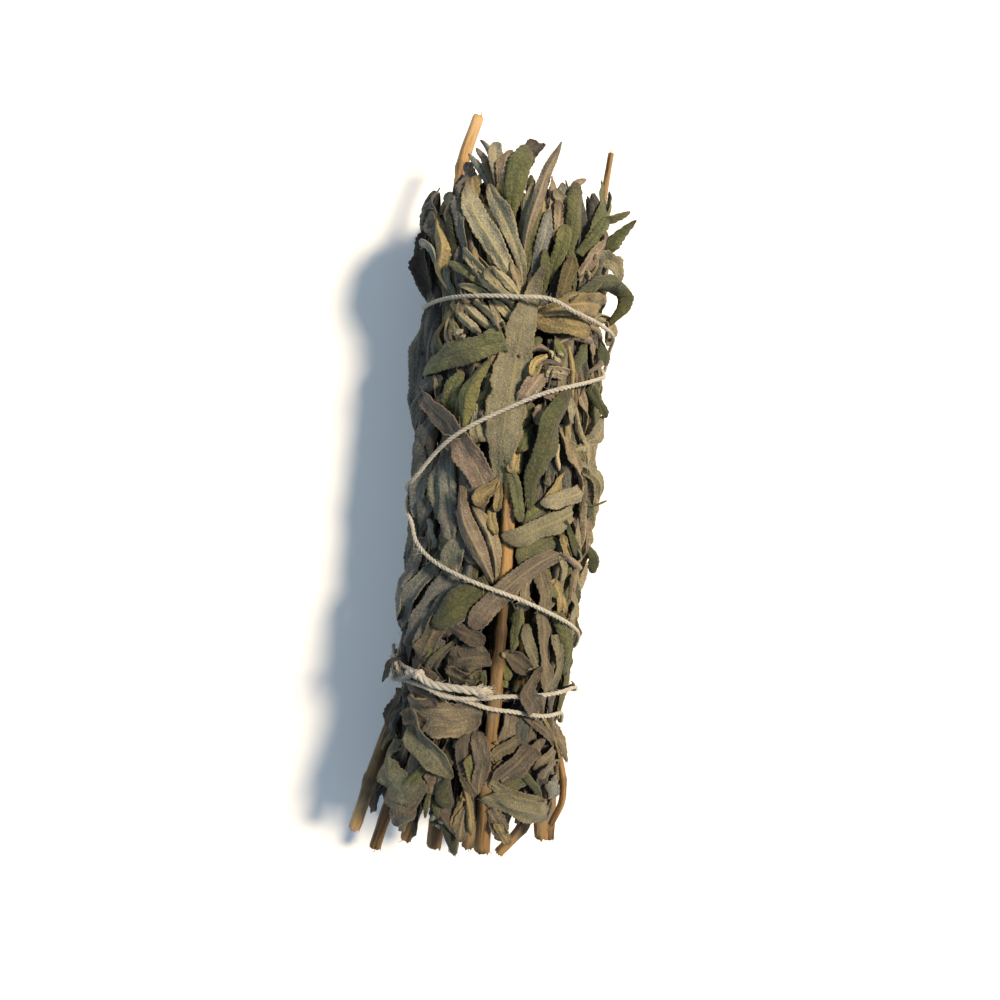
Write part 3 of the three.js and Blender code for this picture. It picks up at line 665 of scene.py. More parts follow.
# The underside's tufts and the flanks': name, look, width of a leaf and the routes of its leaves.
UNDERSIDE_TUFTS = [
    ("tuft_under_foot_left", "grey", 4.6, fan((228, -70), [(204, -46), (234, -40), (262, -47)])),
    ("tuft_under_foot_right", "brown", 4.6, fan((290, -72), [(266, -49), (294, -42), (322, -50)])),
    ("tuft_under_middle_left", "pale", 4.8, fan((250, -38), [(220, -12), (250, -5), (284, -14)])),
    ("tuft_under_middle_right", "green", 4.4, fan((312, -45), [(292, -17), (318, -10), (344, -20)])),
    ("tuft_under_upper_left", "grey", 4.6, fan((224, -9), [(200, 20), (230, 26), (258, 16)])),
    ("tuft_under_upper_right", "brown", 4.6, fan((286, -12), [(262, 18), (290, 24), (318, 15)])),
    ("tuft_under_tips_left", "pale", 4.4, fan((246, 28), [(214, 56), (242, 66), (270, 57)])),
    ("tuft_under_tips_right", "green", 4.4, fan((308, 24), [(282, 54), (306, 62), (338, 52)])),
    ("tuft_left_flank_foot", "grey", 4.2, fan((194, -66), [(180, -42), (204, -40)])),
    ("tuft_left_flank", "grey", 4.0, fan((194, -14), [(181, 16), (204, 18)])),
    ("tuft_right_flank_foot", "brown", 4.2, fan((352, -66), [(338, -42), (364, -40)])),
    ("tuft_right_flank", "ochre", 4.4, fan((352, -30), [(338, -2), (368, -4)])),
    ("tuft_right_shoulder", "green", 4.4, fan((352, 6), [(336, 34), (358, 38), (378, 26)])),
]

# Each leaf's marks run over what has been laid before it, so the deepest come first. A mark is
# (u, v) on the layout sheet, with a least lift over the core where it has a third number.
FRONT_LEAVES = [
    # left flank, deepest first; many are darkened and turned colder as painted shade, since this flank faces
    # away from the key lamp
    leaf("grey", 3.4, (428, 322, 3.4), (419, 352, 4), (417, 384, 4), (418, 420, 3.6), bright=0.6, hue=-0.3,
         roll=-30),
    strip("grey", 3.2, (417, 304, 5.0), (411, 345, 5.0), (409, 385, 4.6), (411, 428, 4.2),
          name="leaf_left_edge", bright=0.75, hue=0.1, roll=-60, twist=0),
    leaf("grey", 2.8, (430, 380, 3.6), (419, 402, 4.2), (414, 432, 4.2), bright=0.65, hue=-0.2, roll=-25),
    leaf("green", 1.3, (421, 350), (416, 366), (413, 384), bright=0.9, hue=0.8, roll=-20),
    leaf("grey", 3.2, (440, 376), (424, 396), (413, 424), bright=0.75, hue=-0.2, roll=-20),
    leaf("grey", 1.9, (425, 397), (420, 412), (415, 430), bright=0.9, roll=-20),
    leaf("grey", 3.2, (435, 408), (423, 436), (415, 470), bright=0.75, hue=-0.3, roll=-20),
    leaf("grey", 3.0, (428, 458), (421, 486), (417, 522), bright=1.1, roll=-25),
    leaf("grey", 2.6, (432, 486), (424, 506), (420, 530), bright=0.65, roll=-15),
    strip("grey", 3.0, (416, 520), (412, 548), (407, 580), bright=0.7, hue=-0.2, roll=-30),
    strip("grey", 3.6, (421, 538), (407, 578, 4.0), (399, 620, 4.4), bright=0.95, hue=-0.35),
    strip("grey", 2.8, (436, 554), (418, 590), (403, 630), bright=1.0, hue=-0.2),
    strip("grey", 2.6, (430, 596), (414, 628), (404, 662), bright=0.7, hue=-0.45),
    strip("grey", 4.2, (452, 566), (437, 600), (419, 645), name="tuft_left_lower", bright=1.05, hue=-0.4),
    strip("grey", 3.4, (458, 580), (444, 612), (426, 655), name="tuft_left_lower", bright=0.9, hue=-0.45),
    strip("brown", 2.6, (450, 600), (438, 628), (428, 660), bright=0.75, hue=0.2),
    strip("grey", 1.1, (431, 636), (430, 648), (428, 662), bright=1.1),
    strip("green", 1.1, (438, 636), (435, 648), (433, 662), hue=0.8),
    strip("grey", 1.3, (441, 640), (438, 652), (436, 664), bright=0.8, hue=-0.3),
    strip("grey", 2.9, (427, 549), (427, 535), (429, 519), bright=1.25),
    strip("brown", 3.4, (440, 517), (445, 531), (451, 545), bright=0.65),
    # the leaf tips, left; the darkest of them, at the flank, are painted shade where the rolled leaves lie in
    # shadow
    leaf("brown", 4.2, (433, 312, 3), (426, 278, 3.4), (430, 242, 3.4), (444, 216, 3), bright=0.2, hue=-0.9,
         roll=20, twist=0),
    strip("grey", 4.0, (427, 308, 3.6), (421, 278, 4.2), (425, 242, 4.0), (440, 215, 3.2),
          name="leaf_left_upper_dark", style="cupped", bright=0.4, hue=-0.3, roll=25, twist=0),
    leaf("grey", 3.0, (444, 236), (434, 222), (424, 216), (415, 242), style="rolled", bright=0.45),
    leaf("grey", 1.3, (417, 250, 5.2), (424, 243, 5.4), (433, 249, 5.0), (438, 272, 4.2), style="folded",
         bright=1.9),
    leaf("grey", 2.8, (446, 262), (438, 225), (434, 187), bright=0.6, hue=-0.6),
    leaf("grey", 3.0, (457, 262), (452, 215), (456, 171), bright=0.6, hue=-0.8),
    strip("pale", 2.8, (463, 238), (456, 215), (446, 193), bright=0.85, twist=30),
    strip("green", 2.0, (453, 266), (452, 238), (452, 212), bright=0.4),
    leaf("ochre", 2.5, (451, 302), (445, 276), (445, 246), (439, 214), name="leaf_folded_edge",
         style="ridged", bright=1.25, roll=25, twist=0),
    leaf("ochre", 1.1, (443, 228), (447, 215), (453, 205), style="rolled", bright=1.2, hue=-0.3),
    strip("grey", 1.5, (453, 300), (449, 284), (451, 268), hue=0.3),
    leaf("grey", 2.6, (458, 302), (461, 272), (461, 243), style="folded", bright=0.75, hue=-0.2),
    leaf("grey", 1.9, (463, 252), (462, 222), (463, 191), hue=-0.3),
    strip("brown", 3.0, (471, 218), (468, 190), (465, 159), style="wrinkled", bright=0.65),
    strip("ochre", 2.2, (475, 208), (473, 193), (474, 178), bright=0.9, hue=0.3),
    leaf("grey", 1.4, (490, 196), (482, 172), (471, 156), style="rolled", bright=1.3, tip_lift=0.5),
    leaf("brown", 1.3, (492, 196), (487, 164), (476, 148), style="rolled", tip_lift=0.8),
    leaf("grey", 1.2, (495, 194), (494, 162), (488, 147), (481, 141), style="rolled", bright=1.3,
         tip_lift=1.2),
    leaf("pale", 2.0, (500, 205), (498, 168), (495, 140), style="folded", bright=0.95),
    strip("brown", 2.6, (503, 214), (505, 184), (509, 156), bright=1.2),
    leaf("ochre", 1.6, (500, 210), (500, 195), (501, 180), bright=1.2, hue=0.3),
    leaf("green", 1.9, (534, 222), (533, 196), (532, 171), bright=0.8),
    strip("brown", 3.2, (520, 168), (529, 150), (541, 140), style="wrinkled", bright=0.38, tip_lift=0.5),
    leaf("green", 3.5, (506, 240), (511, 206), (518, 178), (526, 148), name="leaf_top_green", shape="spoon",
         hue=0.2),
    leaf("grey", 2.6, (521, 264), (515, 242), (505, 224), bright=0.75, hue=-0.2),
    leaf("pale", 2.1, (520, 256), (528, 212), (534, 182), bright=0.95, hue=0.3),
    leaf("green", 2.0, (527, 272), (531, 240), (538, 209), hue=0.8),
    leaf("ochre", 1.1, (543, 220), (544, 207), (546, 194)),
    leaf("brown", 2.5, (523, 266), (526, 236), (536, 202), (549, 168), (564, 140), name="tuft_top_narrow",
         style="ridged", shape="lance", tip_lift=0.2),
    leaf("brown", 1.5, (540, 276), (548, 238), (553, 206), (552, 176), name="tuft_top_narrow", bright=1.5),
    leaf("grey", 2.2, (535, 272), (543, 238), (550, 209), bright=1.35),
    # the leaf tips, right
    leaf("grey", 1.8, (567, 218), (563, 202), (560, 184), bright=1.2, hue=-0.3),
    strip("pale", 1.8, (567, 238), (562, 210), (555, 189), bright=0.85),
    strip("brown", 1.7, (556, 244), (557, 222), (558, 201), bright=1.2),
    leaf("grey", 1.9, (589, 230), (586, 208), (583, 188), bright=0.7, hue=-0.2),
    strip("brown", 1.7, (579, 228), (577, 206), (576, 186), bright=1.15),
    leaf("brown", 1.2, (572, 191), (581, 182), (591, 178), style="rolled", hue=-0.8, tip_lift=0.5),
    leaf("green", 3.8, (582, 268), (592, 236), (603, 212), (612, 184), name="tuft_top_right", shape="spoon",
         hue=0.2, tip_lift=0.3),
    leaf("green", 1.8, (600, 226), (609, 210), (618, 193), name="tuft_top_right", hue=0.5, tip_lift=0.4),
    leaf("green", 3.4, (577, 292), (574, 252), (571, 215), (570, 186), name="leaf_top_olive", shape="spoon",
         hue=0.3),
    leaf("green", 2.4, (555, 280), (560, 250), (566, 224), bright=1.2, hue=0.5),
    leaf("green", 2.1, (580, 254), (598, 230), (613, 218, 5.5), (628, 212, 7.5), name="tuft_top_right",
         shape="point", roll=-35, twist=0, tip_lift=0.3),
    leaf("green", 2.6, (603, 266), (610, 250, 5), (619, 236, 6.5), (636, 220, 9.5), bright=0.8, roll=-50,
         twist=0),
    strip("brown", 2.9, (582, 280), (588, 261), (598, 246), (606, 234), bright=1.2, hue=-0.5),
    leaf("green", 1.8, (545, 304), (546, 274), (545, 249), bright=0.9, hue=0.3),
    leaf("ochre", 2.4, (560, 306), (565, 282), (570, 257), bright=0.5, hue=0.3),
    leaf("ochre", 1.1, (592, 284), (596, 268), (598, 254)),
    leaf("green", 2.4, (604, 290), (607, 276), (612, 262), bright=0.55),
    leaf("pale", 3.0, (598, 254), (613, 262, 4.5), (623, 284, 5.5), bright=0.85, roll=40, twist=0),
    # upper leaves that lie over the others
    leaf("pale", 2.9, (525, 298), (522, 270), (515, 246), (505, 221), (496, 203), (490, 186), style="folded",
         shape="spoon", bright=1.02),
    # Painted light: leaf_top_pale is made brighter, as if it faced the key lamp more squarely than it lies.
    leaf("pale", 4.4, (524, 300), (507, 268), (493, 243), (479, 219), (467, 184), name="leaf_top_pale",
         shape="lance", bright=1.25, roll=0, twist=0),
    leaf("green", 2.2, (524, 302), (492, 286), (454, 264), name="tuft_tips_fan", shape="lance", bright=1.35,
         tip_lift=0.3),
    leaf("pale", 1.3, (502, 300), (484, 293), (462, 286), style="folded", shape="lance", bright=1.25,
         hue=0.5),
    # Painted light: this strip is brightened where leaf_top_pale shades it.
    strip("pale", 1.7, (514, 304), (497, 290), (478, 277), style="ridged", bright=1.5, hue=0.2),
    strip("pale", 1.5, (514, 300), (492, 277), (474, 256), style="folded", hue=0.3),
    strip("pale", 2.4, (517, 300), (503, 286), (487, 271), bright=0.85, tip_lift=0.4),
    leaf("pale", 1.7, (521, 300), (509, 284), (494, 269), style="ridged", shape="lance", bright=1.2,
         tip_lift=0.4),
    leaf("brown", 1.2, (519, 290), (516, 276), (511, 261), bright=1.2),
    leaf("ochre", 1.4, (476, 282), (474, 266), (478, 250), style="rolled", hue=-0.5),
    # under the ring of twine
    strip("grey", 1.8, (436, 312), (431, 335), (434, 358)),
    strip("ochre", 1.4, (447, 304), (443, 325), (441, 340), (445, 355), style="folded"),
    strip("brown", 2.4, (463, 300), (452, 326), (456, 350), style="ridged", hue=-0.2),
    leaf("ochre", 1.1, (463, 312), (464, 324), (465, 337), style="rolled", bright=1.2, hue=-0.5),
    strip("pale", 1.6, (462, 303), (480, 319), (498, 332), style="ridged", bright=1.15),
    strip("pale", 1.7, (474, 299), (492, 313), (506, 329), style="ridged", bright=1.2, hue=0.3),
    leaf("brown", 1.0, (488, 300), (497, 315), (501, 332)),
    leaf("pale", 1.4, (493, 299), (505, 311), (515, 322), style="folded", bright=1.2),
    leaf("brown", 1.1, (507, 301), (515, 309), (519, 318)),
    strip("green", 2.0, (529, 354), (535, 344), (541, 335), hue=0.5),
    strip("green", 2.8, (577, 378), (582, 363), (588, 348), bright=0.85),
    leaf("green", 1.8, (573, 359), (563, 350), (555, 339), bright=1.4, hue=0.6),
    leaf("ochre", 1.1, (573, 336), (571, 360), (573, 404), style="rolled"),
    leaf("brown", 1.8, (564, 342), (577, 336), (590, 342), style="rolled", bright=1.2, hue=-0.8),
    leaf("green", 2.6, (606, 334, 4.4), (610, 349, 4.8), (601, 364, 3.6), bright=0.5, roll=40, twist=0),
    leaf("brown", 1.2, (587, 320), (600, 338), (604, 352), (593, 374), style="rolled", bright=0.9),
    leaf("pale", 2.8, (596, 323), (609, 321, 4.6), (616, 331, 5.4), (610, 346, 4.8), bright=1.0, roll=40,
         twist=0),
    strip("ochre", 4.6, (536, 311), (560, 321), (585, 331), name="tuft_ochre_shoulder"),
    leaf("ochre", 4.4, (542, 312), (575, 305), (611, 307), name="tuft_ochre_shoulder", style="wrinkled"),
    leaf("green", 3.1, (571, 301), (583, 290), (601, 283, 4), (616, 285, 5.2), (627, 296, 7.0),
         (627, 312, 7.0), (618, 328, 5.0), name="leaf_hook", style="rolled", bright=0.8, roll=0, twist=60),
    # middle, left of the main stem
    leaf("grey", 2.4, (444, 446), (438, 462), (432, 482), bright=1.1),
    leaf("green", 3.2, (442, 418), (451, 394), (464, 372), shape="point", bright=1.35, hue=0.3),
    leaf("green", 1.7, (455, 430), (457, 410), (465, 387), shape="point", bright=1.3),
    leaf("grey", 1.6, (459, 424), (463, 401), (472, 378), hue=-0.2),
    strip("green", 1.9, (483, 408), (488, 390), (494, 373), hue=0.4),
    strip("green", 1.5, (475, 414), (482, 405), (488, 397), hue=0.7),
    leaf("green", 2.8, (463, 430), (469, 396), (480, 374), (493, 360), style="ridged", shape="point",
         bright=1.2, hue=0.9),
    leaf("pale", 3.8, (475, 403), (477, 422), (480, 442), shape="wedge", bright=0.9),
    strip("grey", 3.2, (453, 458), (463, 482), (476, 511), bright=0.6, hue=-0.4),
    leaf("green", 1.2, (454, 478), (453, 467), (458, 455), hue=1),
    strip("grey", 2.1, (435, 462), (434, 490), (438, 518), hue=0.4),
    leaf("grey", 3.3, (440, 438), (445, 470), (446, 502), (456, 539), name="leaf_grey_green", bright=1.1),
    strip("grey", 2.4, (461, 520), (468, 544), (475, 564), bright=0.55, hue=-0.4),
    leaf("grey", 4.0, (460, 531), (456, 552), (448, 576), bright=1.1, hue=0.5),
    leaf("ochre", 1.1, (470, 510), (466, 498), (462, 486), bright=1.1),
    leaf("brown", 2.7, (496, 584), (495, 556), (488, 530), (473, 506), style="ridged", bright=1.3, hue=0.35),
    leaf("brown", 3.2, (493, 586), (480, 552), (467, 515), (462, 486), name="leaf_folded_brown",
         style="ridged", hue=-0.3),
    # right of the main stem, deepest first
    strip("green", 1.3, (525, 444), (522, 460), (519, 474)),
    strip("green", 2.4, (524, 434), (527, 418), (532, 402), bright=0.95, hue=0.3),
    strip("ochre", 1.8, (519, 436), (515, 454), (512, 473), bright=1.3, hue=-0.3),
    strip("green", 2.4, (532, 426), (528, 438), (523, 452), style="wrinkled", hue=0.4),
    strip("brown", 1.9, (547, 405), (541, 414), (535, 423), bright=1.1),
    strip("ochre", 1.1, (573, 418), (573, 432), (571, 446), hue=-0.4),
    strip("grey", 2.2, (574, 434), (576, 447), (581, 460), bright=0.5),
    strip("brown", 2.1, (566, 424), (570, 450), (580, 472), (583, 494), bright=1.1),
    strip("brown", 2.7, (584, 386), (589, 410), (588, 434), style="folded", hue=0.4),
    leaf("green", 2.6, (595, 386, 3.8), (601, 400, 4.3), (606, 418, 5.2), shape="point", bright=0.5, roll=40,
         twist=0),
    strip("green", 1.6, (580, 432), (581, 446), (585, 460), bright=1.1),
    leaf("green", 1.7, (595, 440), (593, 454), (587, 468), bright=0.9),
    leaf("pale", 0.9, (580, 392), (581, 420), (586, 445), (588, 472), style="rolled", bright=0.95),
    leaf("pale", 2.9, (575, 388), (573, 405), (571, 423), shape="wedge", bright=0.8),
    strip("pale", 2.4, (585, 465), (597, 477, 4.2), (599, 510, 4.2), bright=0.75, roll=40),
    leaf("ochre", 1.8, (574, 471), (560, 487), (545, 503)),
    strip("green", 2.1, (552, 504), (538, 513), (524, 521), hue=0.3),
    leaf("green", 4.8, (534, 515), (532, 480), (545, 445), (553, 415), (568, 390), name="leaf_dark_green",
         shape="spoon", bright=0.74),
    leaf("pale", 0.9, (559, 444), (557, 457), (560, 471), style="rolled", bright=1.3),
    strip("green", 4.2, (560, 538), (540, 549), (518, 561), hue=-0.3),
    leaf("pale", 3.1, (587, 487), (562, 499), (540, 504), bright=0.85),
    strip("green", 2.2, (583, 497), (588, 506), (594, 516), bright=0.5),
    leaf("green", 1.8, (587, 516), (598, 507, 5), (609, 501, 7), bright=0.9, twist=60, tip_lift=0.5),
    leaf("green", 2.8, (590, 532), (597, 551, 4.5), (599, 574, 5), bright=0.5, roll=40),
    leaf("pale", 1.2, (583, 553), (589, 549), (595, 545), tip_lift=0.5),
    leaf("green", 1.7, (585, 568), (569, 545), (555, 521), style="folded", bright=0.6),
    leaf("ochre", 1.1, (572, 562), (566, 548), (558, 534)),
    leaf("green", 2.0, (584, 566), (574, 544), (564, 520), style="ridged", bright=0.7),
    leaf("pale", 2.0, (584, 566), (579, 545), (576, 518), style="ridged", bright=0.8),
    leaf("brown", 1.3, (586, 566), (582, 540), (582, 498), style="rolled", bright=1.2),
    leaf("brown", 1.3, (587, 562), (588, 540), (590, 518), style="folded"),
    leaf("pale", 2.0, (586, 568), (590, 538), (598, 510), bright=0.85),
    leaf("brown", 1.3, (586, 572), (574, 563), (560, 554), style="rolled", bright=1.2),
    leaf("pale", 1.9, (561, 556), (565, 568), (561, 582), bright=0.9),
    strip("green", 1.7, (553, 570), (553, 583), (555, 598), bright=1.25),
    strip("ochre", 1.5, (556, 580), (561, 597), (564, 614)),
    strip("ochre", 1.2, (570, 586), (569, 600), (568, 614), bright=1.2, hue=-0.3),
    leaf("brown", 1.3, (584, 566), (575, 580), (571, 600), style="rolled", bright=0.85),
    leaf("brown", 1.7, (586, 564), (581, 585), (577, 604)),
    leaf("green", 1.5, (582, 578), (587, 590), (586, 604), bright=0.5),
    strip("pale", 2.9, (591, 594), (579, 609), (568, 624), bright=0.75),
    strip("brown", 2.3, (535, 570), (530, 590), (524, 614)),
    leaf("green", 2.6, (524, 600), (521, 626), (514, 655), style="ridged", shape="lance", bright=1.2,
         hue=0.6),
    strip("green", 3.6, (562, 613), (567, 650), (563, 690), (556, 718), name="leaf_right_green", bright=1.25,
          hue=0.3),
    leaf("green", 0.9, (571, 626), (574, 650), (569, 676), style="rolled", bright=0.55),
    strip("brown", 1.5, (568, 680), (564, 698), (560, 718)),
    leaf("pale", 1.6, (561, 636), (557, 668), (553, 704), shape="point", bright=0.85),
    strip("brown", 2.8, (546, 564), (546, 620), (546, 670), (543, 716), name="leaf_tan_strip", bright=1.0),
    leaf("brown", 0.9, (566, 694, 3.6), (571, 688, 5), (574, 684, 6), (572, 681, 5.5), style="rolled"),
    # round the tie
    strip("brown", 5.2, (444, 664), (466, 658), (490, 657), name="leaf_wrinkled", style="wrinkled",
          bright=0.75),
    strip("brown", 2.8, (445, 672), (460, 678), (476, 682), bright=0.85, hue=-0.4),
    strip("green", 1.5, (469, 686), (474, 678), (482, 673), style="cupped", bright=1.2, hue=0.9),
    strip("green", 0.9, (484, 686), (484, 678), (483, 670), bright=1.1),
    strip("brown", 2.4, (433, 636), (452, 627), (468, 634), (485, 642), bright=0.5),
    leaf("green", 5.2, (490, 586), (465, 600), (436, 628), name="leaf_green_low", shape="blunt", bright=0.65,
         hue=0.4, roll=0, twist=0),
    leaf("pale", 1.5, (455, 639), (442, 654), (437, 667), (443, 682), style="folded", bright=0.4),
    strip("brown", 2.8, (410, 660), (424, 670), (441, 681), bright=0.7, hue=-0.7),
    strip("brown", 2.4, (412, 684), (428, 690), (446, 698), bright=0.75, hue=-0.7),
    leaf("green", 2.0, (505, 659), (509, 671), (512, 683), shape="spoon", bright=1.35, hue=0.4),
    leaf("green", 1.4, (502, 680), (506, 684), (510, 690), bright=1.4, hue=0.9),
    leaf("pale", 2.7, (541, 671), (533, 648), (526, 626), shape="spoon", bright=0.75),
    leaf("brown", 3.2, (506, 654), (519, 662), (533, 673), style="cupped", bright=0.6),
    leaf("pale", 0.5, (530, 671), (536, 669), (543, 668), style="rolled", tip_lift=1.0),
    # over the middle
    leaf("brown", 4.3, (488, 494), (470, 456), (450, 425), (424, 390), name="leaf_purple", shape="point",
         hue=-0.8),
    leaf("pale", 6.9, (498, 484), (504, 428), (512, 385), (519, 342), (530, 302), (543, 266),
         name="leaf_big_pale", shape="ovate", bright=0.72, roll=0, twist=0),
    strip("brown", 3.1, (549, 364), (537, 381), (522, 401), bright=1.25, hue=-0.4),
    leaf("brown", 1.4, (528, 353), (538, 346), (552, 350), style="rolled", bright=0.8, hue=-0.6),
    leaf("ochre", 1.6, (549, 355), (538, 361), (531, 376), style="cupped", bright=1.4, hue=0.5),
    leaf("brown", 1.2, (538, 367), (549, 362), (561, 367), style="rolled", bright=0.55, hue=-0.8),
    leaf("pale", 1.2, (550, 350), (555, 355), (560, 363), style="wrinkled", bright=1.3),
    leaf("ochre", 1.0, (555, 361), (558, 366), (561, 372), bright=1.1, hue=-0.8),
    strip("pale", 1.9, (547, 371), (557, 373), (567, 375), bright=1.3, hue=-0.9),
    strip("brown", 1.3, (543, 394), (551, 397), (559, 400), bright=0.8, hue=-1),
    leaf("ochre", 1.2, (552, 393), (559, 391), (566, 387), bright=1.3),
    leaf("green", 4.6, (505, 339), (480, 348), (450, 360), (424, 373), name="leaf_green_cross",
         shape="blunt", bright=1.25, roll=0),
    leaf("ochre", 2.1, (500, 476), (494, 486), (484, 495), (481, 507), style="cupped", bright=0.7),
    leaf("ochre", 1.5, (494, 501), (491, 515), (497, 535), style="rolled", hue=0.2),
    leaf("ochre", 1.3, (500, 478), (499, 494), (496, 512), style="folded", bright=0.75),
    strip("green", 1.9, (503, 463), (513, 478), (518, 500), (520, 522), bright=1.05),
    strip("pale", 3.7, (574, 512), (540, 528), (507, 542), name="leaf_pale_middle", bright=0.72, hue=0.3),
    strip("brown", 3.9, (561, 553), (530, 571), (500, 595), (472, 627), name="leaf_long_cross", bright=0.8,
          hue=-0.4),
    leaf("pale", 3.0, (580, 450), (596, 438, 3.8), (604, 415, 4.6), name="leaf_right_edge", bright=0.85,
         roll=-25),
    # under the tie, to the cut ends
    strip("grey", 2.4, (402, 690), (396, 712, 3.8), (390, 736, 3.2), bright=0.5, hue=-0.4, roll=-30),
    strip("brown", 1.8, (395, 689, 4.0), (391, 706, 4.0), (386, 727, 3.6), bright=0.6, hue=-0.6, roll=-35),
    leaf("brown", 1.6, (456, 748), (453, 738), (454, 729), bright=0.6, hue=-0.8),
    leaf("brown", 1.9, (500, 704), (510, 700), (524, 698), bright=0.5),
    strip("brown", 3.6, (508, 764), (508, 740), (513, 714), bright=1.15),
    strip("green", 2.0, (391, 726), (387, 738), (383, 750), bright=0.9, hue=0.6),
    strip("brown", 2.2, (399, 734), (397, 752), (393, 768)),
    strip("brown", 4.2, (385, 824), (400, 813), (417, 805), bright=0.75, hue=0.2),
    leaf("brown", 1.5, (384, 797), (384, 806), (382, 815)),
    strip("brown", 3.6, (375, 785), (398, 799), (422, 803), bright=1.0, hue=0.3),
    leaf("green", 2.7, (429, 760), (420, 774), (407, 790), shape="spoon", hue=0.6),
    # Painted light: leaf_foot_left_cup faces away from the key lamp, and is brightened and warmed to look
    # lit.
    strip("grey", 4.8, (389, 737, 3.4), (382, 760, 4.4), (394, 782, 4.4), (426, 794),
          name="leaf_foot_left_cup", bright=1.3, hue=0.9, roll=0, twist=0),
    leaf("brown", 2.5, (431, 766), (435, 778), (438, 792), hue=-0.5),
    leaf("green", 0.9, (431, 780), (428, 798), (425, 818), bright=1.2, hue=1),
    leaf("green", 1.1, (431, 798), (434, 808), (438, 818), hue=0.7),
    leaf("green", 2.3, (450, 774), (443, 788), (451, 806), style="rolled", bright=0.55),
    strip("ochre", 1.5, (465, 798), (459, 812), (454, 827)),
    leaf("brown", 2.3, (468, 808), (462, 822), (460, 840)),
    leaf("ochre", 1.2, (462, 790), (469, 806), (471, 834), style="rolled"),
    strip("brown", 6.0, (402, 698), (420, 709), (450, 717), (482, 716), name="leaf_broad_low",
          style="pleated", bright=1.25, hue=0.15),
    strip("brown", 2.2, (404, 690), (420, 695), (440, 702), bright=0.7, hue=-0.7),
    leaf("grey", 4.3, (411, 715), (421, 737), (436, 752), (454, 776), name="leaf_curved_low", style="folded",
         shape="blunt", bright=1.08, hue=0.75, roll=0, twist=0),
    strip("brown", 2.8, (478, 798), (465, 776), (464, 734), name="tuft_low_middle", bright=0.65),
    strip("green", 1.4, (475, 792), (470, 775), (468, 756), bright=1.4, hue=1),
    strip("brown", 2.8, (480, 798), (482, 765), (478, 731), name="tuft_low_middle", hue=-0.3),
    strip("ochre", 2.2, (494, 764), (502, 757), (513, 747), bright=1.1),
    strip("brown", 2.3, (493, 758), (506, 749), (521, 740), bright=0.85, hue=0.5),
    strip("ochre", 1.6, (494, 792), (497, 777), (504, 762), bright=0.9),
    strip("brown", 2.4, (558, 733), (549, 752), (535, 770), style="folded", bright=1.1),
    strip("brown", 2.9, (503, 784), (524, 764), (542, 738), style="ridged", hue=0.1),
    strip("brown", 3.6, (494, 790), (511, 768), (530, 746), name="leaf_brown_low", bright=0.8, hue=-0.4),
    strip("brown", 1.7, (526, 714), (541, 728), (556, 744), bright=0.75),
    strip("ochre", 1.3, (548, 716), (556, 742), (564, 764), style="folded"),
    strip("brown", 2.4, (555, 720), (563, 739, 3.8), (568, 761, 5.0), bright=1.15, roll=25, twist=0),
    strip("brown", 2.6, (566, 770), (553, 764), (535, 772), bright=1.0, hue=0.3),
    strip("grey", 3.6, (568, 766), (557, 777), (545, 793), style="wrinkled", bright=1.5),
    strip("green", 3.1, (511, 795), (520, 785), (530, 775), bright=1.1, hue=0.5),
    strip("green", 1.4, (524, 772), (533, 785), (542, 800), style="rolled", hue=0.5),
    strip("brown", 1.7, (488, 812), (499, 821), (512, 834), bright=0.8),
    strip("brown", 2.4, (492, 814), (500, 828), (505, 843)),
    strip("ochre", 1.4, (499, 826), (505, 836), (509, 845)),
    strip("pale", 1.8, (491, 786), (514, 797), (541, 801), bright=0.8, hue=0.3),
    strip("pale", 4.0, (488, 799), (515, 807), (548, 814), name="leaf_foot_right", style="pleated",
          bright=0.85, hue=0.4),
    # strips that fill gaps near the ring
    strip("pale", 1.5, (452, 305), (466, 320), (480, 333), style="ridged", bright=1.1),
    strip("ochre", 1.3, (446, 311), (456, 326), (463, 341), bright=1.1),
    strip("pale", 1.6, (492, 284), (480, 270), (468, 253), style="folded", bright=1.1),
]

LEAVES_OVER_TWINE = [
    leaf("brown", 3.4, (541, 720), (531, 706), (524, 693), (530, 680), (540, 666), name="leaf_over_tie",
         shape="ovate", bright=0.7, roll=0, twist=0),
    leaf("grey", 2.4, (396, 657, 5.6), (383, 662, 8.2), (380, 682, 9.0), bright=0.13, hue=-0.2),
]

# ---- stems ---------------------------------------------------------------------------------------

STEM_STEP = 1.0
STEM_SIDES = 20

